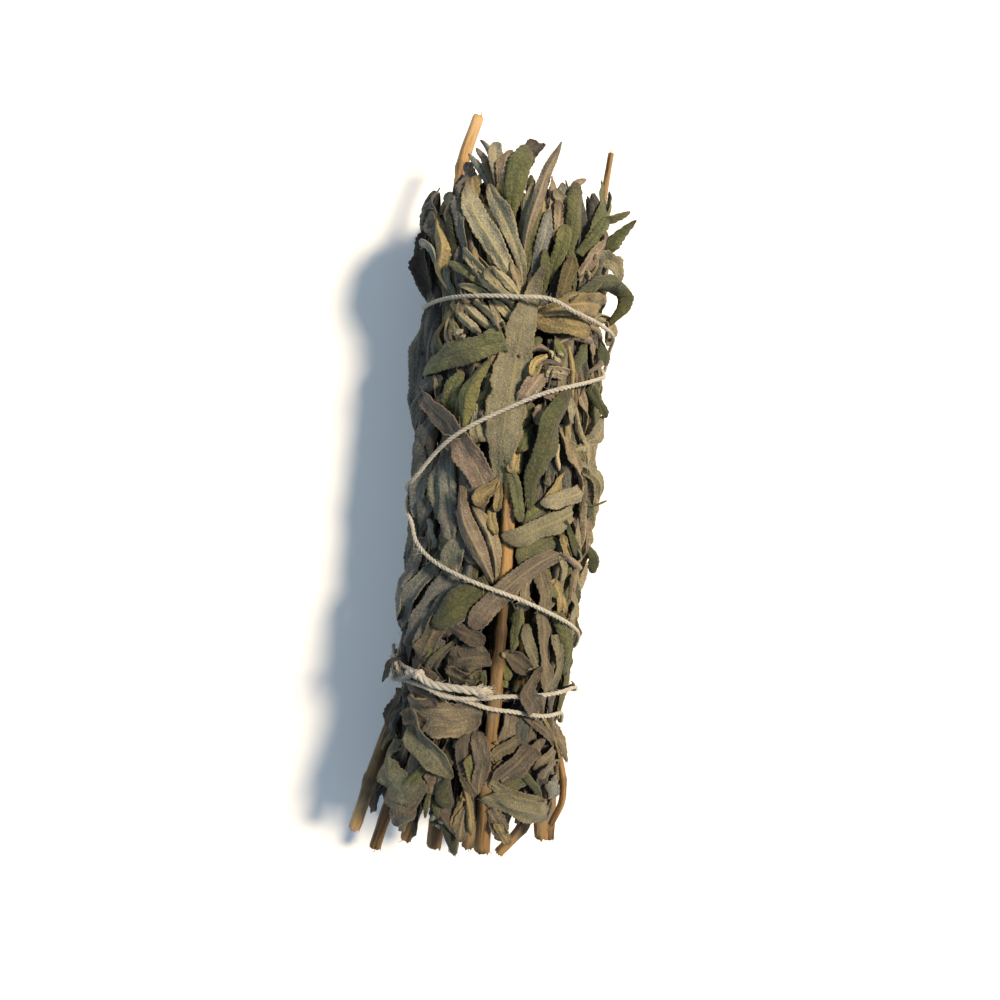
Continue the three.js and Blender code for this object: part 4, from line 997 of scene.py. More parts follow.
# Route points are (u, v, rise over mid-height), as in the CAD model.
STEMS = [
    ("stem_main", 1.35, [(482, 850, 9.6), (487, 780, 10.2), (495, 700, 10.4), (503, 600, 11.2),
                         (510, 480, 11.6), (516, 420, 10), (526, 340, 7), (532, 280, 5)]),
    ("stem_left_splayed", 1.3, [(355, 826, -2), (385, 740, 0), (408, 690, 0), (428, 640, 0),
                                (440, 560, 0), (450, 480, 0), (456, 400, 1)]),
    ("stem_left_low", 1.3, [(375, 846, -7.5), (394, 790, -7), (414, 730, -6.2), (434, 670, -6),
                            (450, 590, -7), (462, 500, -7.5), (470, 420, -7)]),
    ("stem_left_inner", 1.15, [(406, 838, 3), (430, 770, 4), (446, 700, 5), (460, 620, 6),
                               (468, 540, 6.5), (474, 450, 7)]),
    ("stem_dark", 1.5, [(434, 845, -3.5), (442, 780, -2.5), (456, 700, -1.5), (470, 620, -1.5),
                        (484, 520, -1), (492, 420, 0), (496, 330, 0)]),
    ("stem_pale_end", 0.9, [(453, 851, 4.5), (460, 780, 6), (470, 700, 6.5), (480, 620, 7),
                            (486, 540, 5), (490, 470, 4)]),
    ("stem_under_middle", 1.3, [(468, 846, -8.2), (476, 780, -8.2), (484, 700, -7.6),
                                (492, 600, -8.2), (500, 500, -8.6), (508, 400, -8.2)]),
    ("stem_slanted", 0.95, [(499, 852, -1), (526, 822, 0), (536, 790, -0.5), (534, 740, -1.5),
                            (524, 690, -1.6)]),
    ("stem_right_pair_upper", 1.3, [(541, 836, 3.5), (538, 780, 4.5), (528, 720, 5), (522, 650, 5.5),
                                    (528, 560, 6.5), (534, 470, 6.5), (542, 380, 6)]),
    ("stem_right_pair_lower", 1.2, [(548, 838, -3.5), (550, 790, -4.5), (542, 740, -5.5),
                                    (532, 690, -5.6), (534, 600, -7), (544, 500, -7),
                                    (554, 400, -6.5)]),
    ("stem_bent_twig", 0.65, [(551, 824, 1), (562, 800, 2), (562, 772, 2), (554, 740, 1),
                              (543, 700, 0.5), (546, 640, 0.5), (556, 570, 1)]),
    ("stem_tip_pale", 1.15, [(478, 118, 0), (463, 163, 1), (458, 210, 2), (462, 260, 3),
                             (466, 320, 3), (470, 390, 3)]),
    ("stem_tip_thin", 0.6, [(611, 154, -1), (605, 190, -1), (600, 230, -1), (590, 290, -1),
                            (578, 350, 0), (572, 420, 0), (568, 500, 0)]),
]

# How light each stem is, at mm from its cut end: partly its bark's own colour, paler where peeled, and partly
# painted shade, darker on the stems that lie low or deep in the bundle.
STEM_SHADES = {
    "stem_main": [(0, 0.5), (20, 0.5), (34, 0.62), (36, 0.2), (48, 0.3), (51, 0.85), (80, 0.9)],
    "stem_left_splayed": [(0, 1.1), (5, 1.0), (8, 0.36)],
    "stem_left_low": [(0, 0.42), (5, 0.36)],
    "stem_left_inner": [(0, 0.62), (12, 0.55)],
    "stem_dark": [(0, 0.4)],
    "stem_pale_end": [(0, 1.7), (2, 1.7), (4, 0.7)],
    "stem_under_middle": [(0, 0.5)],
    "stem_slanted": [(0, 0.8), (8, 0.7)],
    "stem_right_pair_upper": [(0, 0.6)],
    "stem_right_pair_lower": [(0, 0.52)],
    "stem_bent_twig": [(0, 0.62)],
    "stem_tip_pale": [(0, 1.3), (10, 1.0)],
    "stem_tip_thin": [(0, 0.68)],
}

# How wide a stem is against its own radius, at mm from its cut end, where that changes.
STEM_WIDTHS = {
    "stem_main": [(0, 1.05), (34, 1.0), (35.5, 1.16), (37.5, 0.74), (48, 0.72), (52, 1.0)],
}
EVEN = [(0, 1)]  # the same all along

# How a stem differs from a round rod, against its own radius.
SQUARENESS = 0.07
RIDGE_HEIGHT = 0.035
KNOT_HEIGHT = 0.22
KNOT_NECK = 0.08
LUMPS = 0.04
RAGGEDNESS = 0.28

RIDGES = 9
TWIST_PER_MM = 0.03
BARK_ROOM = 300  # mm of pattern, from which each stem takes a place of its own
SPLINTERS = 4
MAP_SIDES = 32  # of a stem as the lift map takes it in

# The rings that close a stem's ends: their size against the stem's, how far they stand inside the
# end, and how much of the cut wood they show.
FOOT_RINGS = [(0.25, 0.35, 1), (0.6, 0.12, 1), (0.93, -0.02, 0.6)]
HEAD_RINGS = [(0.85, 0, 0.6), (0.4, 0, 1)]


def stem_rings(rng, path, along, radius, widths):
    """A stem's rings, square-ish and lumpy, and how much of a knot each one is."""
    turn = turns(STEM_SIDES)
    twist = rng.uniform() * TAU + along[:, None] * TWIST_PER_MM
    square = SQUARENESS * np.cos(4 * (turn + twist))
    bark = RIDGE_HEIGHT * np.sin(RIDGES * turn + 4 * wave(rng, along, 30, 9)[:, None])
    knots = np.zeros_like(along)
    spacing = rng.uniform(24, 30)
    for k in np.arange(rng.uniform(6, 12), along[-1], spacing):
        knots = knots + KNOT_HEIGHT * bell(along, k, 1.0) - KNOT_NECK * bell(along, k + 1.6, 0.6)
    lumps = LUMPS * wave(rng, along, 20, 5)
    width = np.interp(along, *np.transpose(widths))
    radii = radius * width[:, None] * (1 + square + bark + (knots + lumps)[:, None])
    return ring_rows(path, radii), knots


def with_ends(foot, middle, head):
    """Values for a stem's rings, with those of its end rings at both ends."""
    return np.concatenate([foot, middle, head])


def stem_tube(rng, route, radius, shades=EVEN, widths=EVEN):
    """A stem along its route, with a ragged cut foot and what the bark reads at each point."""
    path = smooth_path([sheet_point(*mark) for mark in route], STEM_STEP)
    along = distances(path)
    points, knots = stem_rings(rng, path, along, radius, widths)
    tangent = unit(np.gradient(path, axis=0))
    ragged = rng.normal(0, RAGGEDNESS, STEM_SIDES) * radius
    rim = points[0] - tangent[0] * ragged[:, None]
    foot = [path[0] + (rim - path[0]) * size + tangent[0] * inside for size, inside, _ in FOOT_RINGS]
    head = [path[-1] + (points[-1] - path[-1]) * size for size, _, _ in HEAD_RINGS]
    points = with_ends(foot, points, head)
    core = with_ends([r[0] for r in FOOT_RINGS], np.ones_like(along), [r[0] for r in HEAD_RINGS])[:, None]
    cut = with_ends([r[2] for r in FOOT_RINGS], np.zeros_like(along), [r[2] for r in HEAD_RINGS])[:, None]
    knots = with_ends(np.zeros(len(foot)), knots, np.zeros(len(head)))[:, None]
    along = with_ends(np.zeros(len(foot)), along, np.full(len(head), along[-1]))[:, None]
    turn = turns(STEM_SIDES)
    pattern = along + rng.uniform(0, BARK_ROOM)
    grain = grid(radius * core * np.cos(turn), radius * core * np.sin(turn), pattern)
    # The bark's own tone together with painted shade, from STEM_SHADES.
    bright = np.interp(along, *np.transpose(shades))
    tone = grid(bright + 0.4 * cut, np.clip(bright - 1, 0, 0.6), 0)
    return tube(points, grain, grid(cut, core, knots * 4), tone)


def splinters(rng, route, radius):
    """Torn fibres that stand off a stem's cut end."""
    path = smooth_path([sheet_point(*mark) for mark in route], STEM_STEP)
    side, up, tangent = path_frames(path)
    made = []
    for _ in range(SPLINTERS):
        turn = rng.uniform() * TAU
        out = side[0] * math.cos(turn) + up[0] * math.sin(turn)
        start = path[0] + out * radius * rng.uniform(0.6, 1.0) + tangent[0] * 0.4
        direction = unit(out * rng.uniform(0, 0.5) - tangent[0])
        made.append(fibre(rng, start, direction, rng.uniform(0.5, 1.2), thickness=rng.uniform(0.1, 0.2)))
    return made


def raise_map_along(path, radius):
    """The lift map takes in a stem."""
    turn = turns(MAP_SIDES)
    ring = grid(radius * np.cos(turn), 0, radius * np.sin(turn))
    points = path[:, None] + ring[None]
    x, lift = skin_place(points)
    raise_map(x, points[..., 1], lift)


# ---- twine -----------------------------------------------------------------------------------------

def turned(count, places):
    return [[x - TAU * count * METRIC_RADIUS, y, least] for x, y, least in places]


def marks(*places):
    return [on_layers(place, TWINE_RADIUS) for place in places]


def degrees(*places):
    return [from_degrees(*place) for place in places]


def twine_route():
    return [
        *marks((428, 686), (449, 692), (467, 698), (489, 707), (512, 711), (539, 715), (560, 713)),
        *degrees((0, -42.8), (-30, -42.4), (-60, -41.6), (-90, -40), (-120, -38), (-150, -36), (-178, -34),
                 (-194, -33.6)),
        *turned(1, marks((400, 677), (414, 680), (430, 686), (450, 692), (475, 695), (503, 696),
                         (531, 694), (549, 691), (562, 685))),
        *degrees((-368, -36.4), (-392, -32), (-420, -25), (-450, -17.5), (-480, -11), (-510, -5.3),
                 (-534, -1.0)),
        *turned(2, marks((420, 480), (440, 455), (470, 428), (510, 408), (545, 393), (585, 382))),
        *degrees((-724, 27), (-752, 30), (-780, 33), (-810, 35), (-840, 36.5), (-870, 37), (-894, 37)),
        *turned(3, marks((430, 309), (450, 301), (480, 298), (515, 298), (545, 302), (575, 313),
                         (592, 328))),
        *degrees((-1086, 33), (-1112, 27), (-1140, 19.5), (-1170, 12), (-1200, 5), (-1230, 0.6),
                 (-1254, -1.8)),
        *turned(4, marks((414, 520), (420, 539), (431, 555), (467, 578), (521, 600), (560, 620))),
        *degrees((-1444, -27), (-1470, -29.5), (-1500, -31), (-1530, -31.5), (-1560, -31),
                 (-1590, -30.5), (-1614, -30.5)),
        *turned(5, marks((400, 652), (408, 664), (416, 670))),
    ]


def loop_route():
    return marks((420, 673), (412, 677), (403, 678), (396, 674, 4.6), (393, 667, 5.0), (394, 658, 4.6),
                 (400, 650, 4.0))


def second_strand_route():
    return marks((412, 678), (403, 669, 4.2), (397, 656, 4.6), (400, 644, 3.8))


def tail_route():
    return marks((414, 671), (422, 673), (439, 680), (459, 684), (475, 686), (484, 688))


PLIES = 3
PLY_STEP = 0.45
PLY_SIDES = 8
PLY_PITCH = 2.6
PLY_RADIUS = 0.215
CORD_STEP = 0.8
CROSSING_REACH = 2 * TWINE_RADIUS + 0.3
SAME_STRAND = 14.0  # mm of a cord's own length, within which it doesn't cross itself
CROSSING_ROUNDS = 6
BRIDGED = 3  # steps of a cord to each side over which it keeps to the highest thing under it
EASED = 7
CORD_SEAT = 0.75  # a cord presses in by the rest of its radius


def cord_lift(path, radius):
    """How high a taut cord of that radius lies along a path over what the map holds."""
    under = np.full(len(path), NO_LEAST)
    for dx in (-radius, -radius / 2, 0, radius / 2, radius):
        for dy in (-radius, 0, radius):
            under = np.maximum(under, lift_at(path[:, 0] + dx, path[:, 1] + dy))
    return spread(spread(under, BRIDGED, np.max), EASED, np.mean) + radius * CORD_SEAT


def over_crossings(path, lift):
    """Each later strand that crosses an earlier one passes over it in a low hump."""
    turn = TAU * METRIC_RADIUS
    across = np.abs(path[:, None, 0] - path[None, :, 0]) % turn
    across = np.minimum(across, turn - across)
    gap = np.hypot(across, path[:, None, 1] - path[None, :, 1])
    order = np.arange(len(path))
    earlier = order[:, None] - order[None, :] > SAME_STRAND / CORD_STEP
    crossing = (gap < CROSSING_REACH) & earlier
    current = lift
    for _ in range(CROSSING_ROUNDS):
        over = np.where(crossing, current[None, :] + 2 * TWINE_RADIUS, NO_LEAST).max(axis=1)
        need = np.maximum(lift, over)
        current = spread(spread(need, 1, np.max), 3, np.mean)
    return current


def plied(rng, path, ply_radius, ply_offset, pitch, loosen=0.0, bright=1.0):
    """A laid cord: plies that wind round its middle line, looser towards its end if need be."""
    path = smooth_path(path, PLY_STEP)
    along = distances(path)
    side, up, _ = path_frames(path)
    phase = rng.uniform() * TAU
    slack = 1 + loosen * smooth(along / along[-1] * 3 - 2)
    around = turns(PLY_SIDES)
    made = []
    for k in range(PLIES):
        turn = (phase + TAU * along / pitch + TAU * k / PLIES)[:, None]
        reach = ply_offset * (1 + 0.08 * wave(rng, along, 20, 4)) * slack
        centre = path + (side * np.cos(turn) + up * np.sin(turn)) * reach[:, None]
        radii = ply_radius * (1 + 0.07 * wave(rng, along, 6, 1.5))[:, None] * np.ones(PLY_SIDES)
        grain = grid(np.cos(around), np.sin(around), along[:, None] + 100 * k)
        tone = [bright * rng.uniform(0.95, 1.05), 0, 0]
        made.append(tube(ring_rows(centre, radii), grain, 0, tone))
    return made


FIBRE_SIDES = 3
FIBRE_BRIGHT = 1.05


def fibre(rng, start, direction, length, thickness=0.035, droop=0.4):
    """One stray fibre, a thin curved tube."""
    bend = rng.normal(0, 1, 3) * droop
    t = np.linspace(0, 1, 5)[:, None]
    path = start + direction * length * t + bend * length * t ** 2
    points = ring_rows(path, thickness * (1 - 0.6 * t) * np.ones(FIBRE_SIDES))
    return tube(points, grid(0, 0, t * length), 0, [FIBRE_BRIGHT, 0, 0])


def fuzz(rng, path, per_mm, reach):
    """Stray fibres along a cord."""
    side, up, tangent = path_frames(path)
    made = []
    for _ in range(int(per_mm * len(path) * CORD_STEP)):
        i = rng.integers(2, len(path) - 2)
        turn = rng.uniform() * TAU
        out = side[i] * math.cos(turn) + up[i] * math.sin(turn)
        start = path[i] + out * TWINE_RADIUS * 0.8
        direction = unit(out * rng.uniform(0.3, 1) + tangent[i] * rng.choice([-1, 1]) * rng.uniform(0.3, 1.2))
        made.append(fibre(rng, start, direction, reach * rng.uniform(0.5, 1.3)))
    return made


KNOT_RADIUS = 0.66
KNOT_CLIMB = 0.14
KNOT_SWELL = 1.1


def knot(rng, centre, axis):
    """A turn and a quarter of twine drawn tight round the doubled end."""
    side = unit(np.cross(axis, [0.0, 0.0, 1.0]))
    up = np.cross(side, axis)
    turn = np.linspace(-0.4 * math.pi, 2.1 * math.pi, 26)[:, None]
    path = centre + KNOT_RADIUS * (side * np.cos(turn) + up * np.sin(turn)) + axis * turn * KNOT_CLIMB
    return plied(rng, path, PLY_RADIUS * KNOT_SWELL, PLY_RADIUS * KNOT_SWELL, PLY_PITCH)


def frayed(rng, end, direction, count):
    """The loose cotton of the cut twine."""
    made = []
    for _ in range(count):
        out = rng.normal(0, 1, 3)
        start = end - direction * rng.uniform(0, 1.4) + unit(out) * rng.uniform(0.1, 0.8)
        heading = unit(direction + unit(out) * rng.uniform(0, 0.75))
        made.append(fibre(rng, start, heading, rng.uniform(0.8, 1.6), rng.uniform(0.07, 0.13), droop=0.2))
    return made


# ---- materials ---------------------------------------------------------------------------------------

class Graph:
    """A material's nodes, with a short call for each kind used."""

    def __init__(self, name, roughness, sheen):
        self.material = bpy.data.materials.new(name)
        self.material.use_nodes = True
        self.nodes = self.material.node_tree.nodes
        self.links = self.material.node_tree.links
        self.shader = self.nodes["Principled BSDF"]
        self.shader.inputs["Roughness"].default_value = roughness
        self.shader.inputs["Sheen Weight"].default_value = sheen
        self.shader.inputs["Sheen Roughness"].default_value = 0.5
        self.shader.inputs["Specular IOR Level"].default_value = 0.25

    def put(self, socket, value):
        if isinstance(value, bpy.types.NodeSocket):
            self.links.new(value, socket)
        elif value is not None:
            socket.default_value = value

    def parts(self, attribute):
        """What a tube carries under a name: the vector and its three parts."""
        node = self.nodes.new("ShaderNodeAttribute")
        node.attribute_name = attribute
        split = self.nodes.new("ShaderNodeSeparateXYZ")
        self.links.new(node.outputs["Vector"], split.inputs[0])
        return node.outputs["Vector"], split.outputs

    def math(self, operation, a, b=None, clamp=False):
        node = self.nodes.new("ShaderNodeMath")
        node.operation = operation
        node.use_clamp = clamp
        self.put(node.inputs[0], a)
        self.put(node.inputs[1], b)
        return node.outputs[0]

    def times(self, a, b, clamp=False):
        return self.math("MULTIPLY", a, b, clamp)

    def scaled(self, value, gain, base):
        return self.math("ADD", self.times(value, gain), base)

    def stretch(self, vector, factors):
        node = self.nodes.new("ShaderNodeVectorMath")
        node.operation = "MULTIPLY"
        self.put(node.inputs[0], vector)
        node.inputs[1].default_value = factors
        return node.outputs[0]

    def ramp(self, value, low, high):
        """0 at low, 1 at high, eased between."""
        node = self.nodes.new("ShaderNodeMapRange")
        node.interpolation_type = "SMOOTHSTEP"
        self.put(node.inputs["Value"], value)
        node.inputs["From Min"].default_value = low
        node.inputs["From Max"].default_value = high
        return node.outputs["Result"]

    def noise(self, vector, scale, detail):
        node = self.nodes.new("ShaderNodeTexNoise")
        self.put(node.inputs["Vector"], vector)
        node.inputs["Scale"].default_value = scale
        node.inputs["Detail"].default_value = detail
        return node.outputs[0]

    def cells(self, vector, scale):
        node = self.nodes.new("ShaderNodeTexVoronoi")
        self.put(node.inputs["Vector"], vector)
        node.inputs["Scale"].default_value = scale
        return node.outputs["Distance"]

    def mix(self, factor, a, b, blend="MIX"):
        node = self.nodes.new("ShaderNodeMix")
        node.data_type = "RGBA"
        node.blend_type = blend
        sockets = [s for s in node.inputs if s.enabled]
        for socket, value in zip(sockets, (factor, a, b)):
            self.put(socket, (*value, 1.0) if isinstance(value, tuple) else value)
        return [s for s in node.outputs if s.enabled][0]

    def tinted(self, colour, mask, strength, tint):
        """The colour with a tint over it where the mask is, up to that strength."""
        return self.mix(self.times(mask, strength), colour, tint)

    def shaded(self, colour, value):
        """The colour times a grey value."""
        node = self.nodes.new("ShaderNodeCombineColor")
        for socket in node.inputs:
            self.put(socket, value)
        return self.mix(1.0, colour, node.outputs[0], "MULTIPLY")

    def finish(self, colour, height, depth):
        bump = self.nodes.new("ShaderNodeBump")
        bump.inputs["Strength"].default_value = 1.0
        bump.inputs["Distance"].default_value = depth / 1000
        self.links.new(height, bump.inputs["Height"])
        self.links.new(bump.outputs["Normal"], self.shader.inputs["Normal"])
        self.links.new(colour, self.shader.inputs["Base Color"])
        return self.material


WARM_HUE = (0.22, 0.19, 0.055)
COLD_HUE = (0.17, 0.115, 0.1)
BURNT = (0.07, 0.045, 0.03)


def mottled(g, blade, hue, base, second, blotch):
    """A leaf's own colours in soft patches, turned warmer or colder by its hue."""
    colour = g.mix(g.ramp(g.noise(blade, 0.45, 4.0), 0.35, 0.68), base, second)
    colour = g.tinted(colour, g.ramp(g.noise(blade, 0.16, 2.0), 0.55, 0.72), 0.55, blotch)
    colour = g.tinted(colour, g.math("MAXIMUM", hue, 0.0), 0.55, WARM_HUE)
    return g.tinted(colour, g.math("MAXIMUM", g.times(hue, -1.0), 0.0), 0.55, COLD_HUE)


def side_veins(g, blade, along, off_rib):
    """Slanting lines on both sides of the midrib, broken here and there."""
    slant = g.math("SUBTRACT", along, g.times(off_rib, VEIN_SLANT))
    step = g.math("FRACT", g.math("DIVIDE", slant, VEIN_STEP))
    line = g.ramp(g.math("ABSOLUTE", g.math("SUBTRACT", step, 0.5)), 0.12, 0.02)
    line = g.times(line, g.ramp(off_rib, 0.1, 0.6))
    return g.times(line, g.ramp(g.noise(blade, 0.8, 1.0), 0.4, 0.6))


def leaf_material(name, base, second, rib, rim, blotch, felt, streaky):
    """A dried leaf: mottled, pebbled between its veins, with a midrib, a rim and darker tips; its pebbles,
    grains and streaks carry painted shade of its relief.
    """
    g = Graph(name, roughness=0.82, sheen=0.12)
    blade, (along, across, _) = g.parts("blade")
    _, (from_rib, from_foot, _) = g.parts("form")
    _, (bright, hue, dry) = g.parts("tone")
    off_rib = g.math("ABSOLUTE", across)
    pebbles = g.cells(blade, 2.3) if felt else g.cells(g.stretch(blade, (0.75, 1.0, 1)), 2.5)
    grains = g.noise(blade, 5.0, 2.0)
    specks = g.ramp(g.noise(blade, 4.8, 1.0), 0.5, 0.7)
    streaks = g.noise(g.stretch(blade, (0.22, 1.5, 1)), 1.5, 3.0)
    vein = side_veins(g, blade, along, off_rib)
    rib_line = g.times(g.ramp(off_rib, 0.26, 0.12), g.ramp(from_foot, 1.0, 0.6))
    rim_line = g.ramp(g.math("ABSOLUTE", from_rib), 0.86, 0.99)
    # Painted shade of the relief: pebbles and grains make the colour lighter where the bump rises and darker
    # in its hollows; the specks are the felt's own.
    painted_shade = g.times(g.scaled(pebbles, -0.3 if felt else -0.55, 1.16), g.scaled(grains, 1.1, 0.45))
    colour = mottled(g, blade, hue, base, second, blotch)
    colour = g.shaded(colour, g.times(painted_shade, g.scaled(specks, 0.45, 0.88)))
    # Painted shade of the lengthwise wrinkles: lighter on the ridges that the streaks raise, darker in their
    # grooves.
    colour = g.shaded(colour, g.scaled(g.math("SUBTRACT", streaks, 0.5), 2.4 * streaky, 1.0))
    colour = g.tinted(colour, vein, 0.12, rib)
    colour = g.tinted(colour, rib_line, 0.85 if felt else 0.45, rib)
    colour = g.tinted(colour, rim_line, 0.5, rim)
    colour = g.mix(g.times(g.ramp(from_foot, 0.82, 1.0), g.times(dry, 1.6), clamp=True), colour, BURNT)
    colour = g.shaded(colour, g.times(bright, 0.7))
    height = g.scaled(pebbles, -0.8, g.times(grains, 0.9))
    height = g.scaled(vein, 0.15 if felt else -0.2, height)
    height = g.scaled(streaks, 2.2 * streaky, height)
    return g.finish(colour, height, depth=0.16)


def stem_material():
    """Dried bark: orange-tan with long dark streaks, paler where it has peeled, pith at the cut."""
    g = Graph("stem", roughness=0.6, sheen=0.0)
    grain, _ = g.parts("blade")
    _, (cut, core, knot_here) = g.parts("form")
    _, (bright, peeled, _) = g.parts("tone")
    long_streaks = g.noise(g.stretch(grain, (1, 1, 0.09)), 1.5, 4.0)
    fine_streaks = g.noise(g.stretch(grain, (1, 1, 0.15)), 6.0, 3.0)
    stretches = g.noise(g.stretch(grain, (0.3, 0.3, 0.06)), 1.0, 2.0)
    bark = g.mix(g.ramp(long_streaks, 0.3, 0.54), (0.13, 0.066, 0.025), (0.38, 0.212, 0.072))
    bark = g.tinted(bark, g.ramp(stretches, 0.52, 0.66), 0.6, (0.36, 0.25, 0.13))
    bark = g.tinted(bark, g.ramp(fine_streaks, 0.45, 0.7), 0.25, (0.1, 0.055, 0.025))
    bark = g.tinted(bark, peeled, 1.3, (0.34, 0.25, 0.15))
    bark = g.mix(g.times(knot_here, 0.6, clamp=True), bark, (0.12, 0.065, 0.03))
    wood = g.mix(g.ramp(g.noise(grain, 3.0, 3.0), 0.35, 0.65), (0.32, 0.2, 0.1), (0.55, 0.42, 0.25))
    wood = g.mix(g.ramp(core, 0.5, 0.2), wood, (0.13, 0.06, 0.035))
    colour = g.shaded(g.mix(cut, bark, wood), bright)
    return g.finish(colour, g.scaled(long_streaks, 0.7, g.times(fine_streaks, 0.5)), depth=0.25)


def twine_material():
    """Undyed cotton: fibres along each ply, a little soiled."""
    g = Graph("twine", roughness=0.9, sheen=0.25)
    grain, _ = g.parts("blade")
    _, (bright, _, _) = g.parts("tone")
    fibres = g.noise(g.stretch(grain, (3.0, 3.0, 0.5)), 2.2, 3.0)
    soil = g.noise(g.stretch(grain, (0.1, 0.1, 0.12)), 1.0, 3.0)
    colour = g.mix(g.ramp(fibres, 0.3, 0.7), (0.36, 0.305, 0.215), (0.6, 0.54, 0.42))
    colour = g.tinted(colour, g.ramp(soil, 0.45, 0.75), 0.3, (0.42, 0.33, 0.2))
    return g.finish(g.shaded(colour, bright), fibres, depth=0.2)


materials = {
    "leaf_pale": leaf_material(
        "leaf_pale", (0.36, 0.31, 0.18), (0.27, 0.24, 0.15), rib=(0.42, 0.34, 0.15),
        rim=(0.36, 0.27, 0.12), blotch=(0.22, 0.15, 0.1), felt=True, streaky=0.3),
    "leaf_green": leaf_material(
        "leaf_green", (0.146, 0.147, 0.05), (0.105, 0.114, 0.044), rib=(0.06, 0.06, 0.03),
        rim=(0.25, 0.21, 0.09), blotch=(0.17, 0.12, 0.06), felt=False, streaky=0.22),
    "leaf_grey": leaf_material(
        "leaf_grey", (0.197, 0.193, 0.15), (0.148, 0.148, 0.122), rib=(0.28, 0.255, 0.175),
        rim=(0.26, 0.23, 0.13), blotch=(0.16, 0.12, 0.09), felt=False, streaky=0.4),
    "leaf_brown": leaf_material(
        "leaf_brown", (0.25, 0.19, 0.115), (0.18, 0.14, 0.09), rib=(0.33, 0.25, 0.13),
        rim=(0.3, 0.21, 0.1), blotch=(0.15, 0.09, 0.065), felt=True, streaky=0.6),
    "leaf_ochre": leaf_material(
        "leaf_ochre", (0.32, 0.235, 0.09), (0.24, 0.18, 0.08), rib=(0.4, 0.29, 0.12),
        rim=(0.34, 0.23, 0.09), blotch=(0.18, 0.11, 0.06), felt=True, streaky=0.5),
    "stem": stem_material(),
    "twine": twine_material(),
}

# ---- the frame's place ----------------------------------------------------------------------------

MAIN_STEM = STEMS[0]
STEM_CAD_SIDES = 8


def find_shift():
    """How far the CAD model's group was moved: the main stem's cut end against its own mark."""
    name, _, route = MAIN_STEM
    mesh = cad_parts[name].data
    corners = np.zeros(len(mesh.vertices) * 3)
    mesh.vertices.foreach_get("co", corners)
    corners = np.unique(np.round(corners.reshape(-1, 3) * 1000, 4), axis=0)
    first_ring = corners[np.argsort(corners[:, 1])[:STEM_CAD_SIDES]]
    return first_ring.mean(axis=0) - sheet_point(*route[0])


bundle_shift = find_shift()

# ---- the bunch ---------------------------------------------------------------------------------------

# Short lengths of twig between the leaves: a radius and a route as in STEMS.
TWIGS = [
    (0.85, [(404, 780, 3.6), (411, 764, 4.6), (420, 747, 5.0)]),
]


def build_stems():
    for number, (name, radius, route) in enumerate(STEMS):
        raise_map_along(smooth_path([sheet_point(*mark) for mark in route], MAP_CELL), radius)
        rng = rng_for("stem", number)
        bark = stem_tube(rng, route, radius, STEM_SHADES[name], STEM_WIDTHS.get(name, EVEN))
        make_piece("fine_" + name, "stem", [bark] + splinters(rng, route, radius), [name])
    twigs = []
    for number, (radius, route) in enumerate(TWIGS):
        twigs.append(stem_tube(rng_for("twig", number), route, radius))
    make_piece("twigs", "stem", twigs)


LOOKS = ("pale", "green", "grey", "brown", "ochre")
loose = {}  # the leaves that join others of their kind and look in one piece


def keep(group, look, made):
    loose.setdefault((group, look), []).append(made)


LEAVES_START = -64.0
LEAVES_END = 62.0
TURNED_ROUND = 0.2  # the share of leaves that point to the cut ends


def random_route(rng, degrees, y_range, lift, slant, y_end=LEAVES_END):
    """A route for a leaf that isn't listed, mostly along the bundle, its tip upwards."""
    length = rng.uniform(17, 34)
    heading = math.radians(rng.normal(0, slant))
    if rng.uniform() < TURNED_ROUND:
        heading += math.pi
    start_x = math.radians(rng.uniform(*degrees)) * METRIC_RADIUS
    start_y = rng.uniform(*y_range)
    bow = rng.normal(0, 2.0)
    step = np.array([math.sin(heading), math.cos(heading)]) * length / 2
    across = np.array([step[1], -step[0]]) / np.linalg.norm(step)
    start = np.array([start_x, start_y])
    places = np.array([start, start + step + across * bow, start + 2 * step])
    places[:, 1] -= max(0, places[:, 1].max() - y_end - rng.uniform(-6, 2))
    places[:, 1] += max(0, LEAVES_START + rng.uniform(-2, 5) - places[:, 1].min())
    return [[*place, lift] for place in places]


# The last scale on a leaf's drawn brightness is painted shade, where a caller darkens leaves that lie in
# shade.
def random_leaf(rng, route, widths, styles, roll, twist, brights, hues, narrow=1.0, painted_shade=1.0,
                dries=None, **more):
    """A leaf whose width, style and looks are drawn from their ranges."""
    drawn = {
        "width": narrow * rng.uniform(*widths), "style": rng.choice(styles), "roll": rng.normal(0, roll),
        "twist": rng.normal(0, twist), "bright": painted_shade * rng.uniform(*brights), "hue": rng.uniform(*hues),
    }
    if dries:
        drawn["dry"] = rng.uniform(*dries)
    return lay_leaf(rng, route, **drawn, **more)


INNER_LEAVES = 220
INNER_STYLES = ["grey", "brown", "rolled", "cupped"]
INNER_LOOKS = ["grey", "brown", "green"]


def lay_inner_leaves():
    """Leaves inside the bundle, which stop the view between the outer ones."""
    for number in range(INNER_LEAVES):
        rng = rng_for("inner", number)
        lift = rng.uniform(-8, 0.4)
        route = random_route(rng, (0, 360), (-72, 52), lift, slant=22)
        made = random_leaf(rng, route, (3.5, 6), INNER_STYLES, 35, 40, (0.8, 1.2), (-0.6, 0.3),
                           detail="plain", drape=False)
        keep("inner", rng.choice(INNER_LOOKS), made)


END_LEAVES = 130
TIPS_RANGE = (32, 50)
FOOT_RANGE = (-72, -52)
FOOT_PAINTED_SHADE = 0.6  # painted shade: the leaves between the cut ends of the stems are darker, as they lie deep in shade


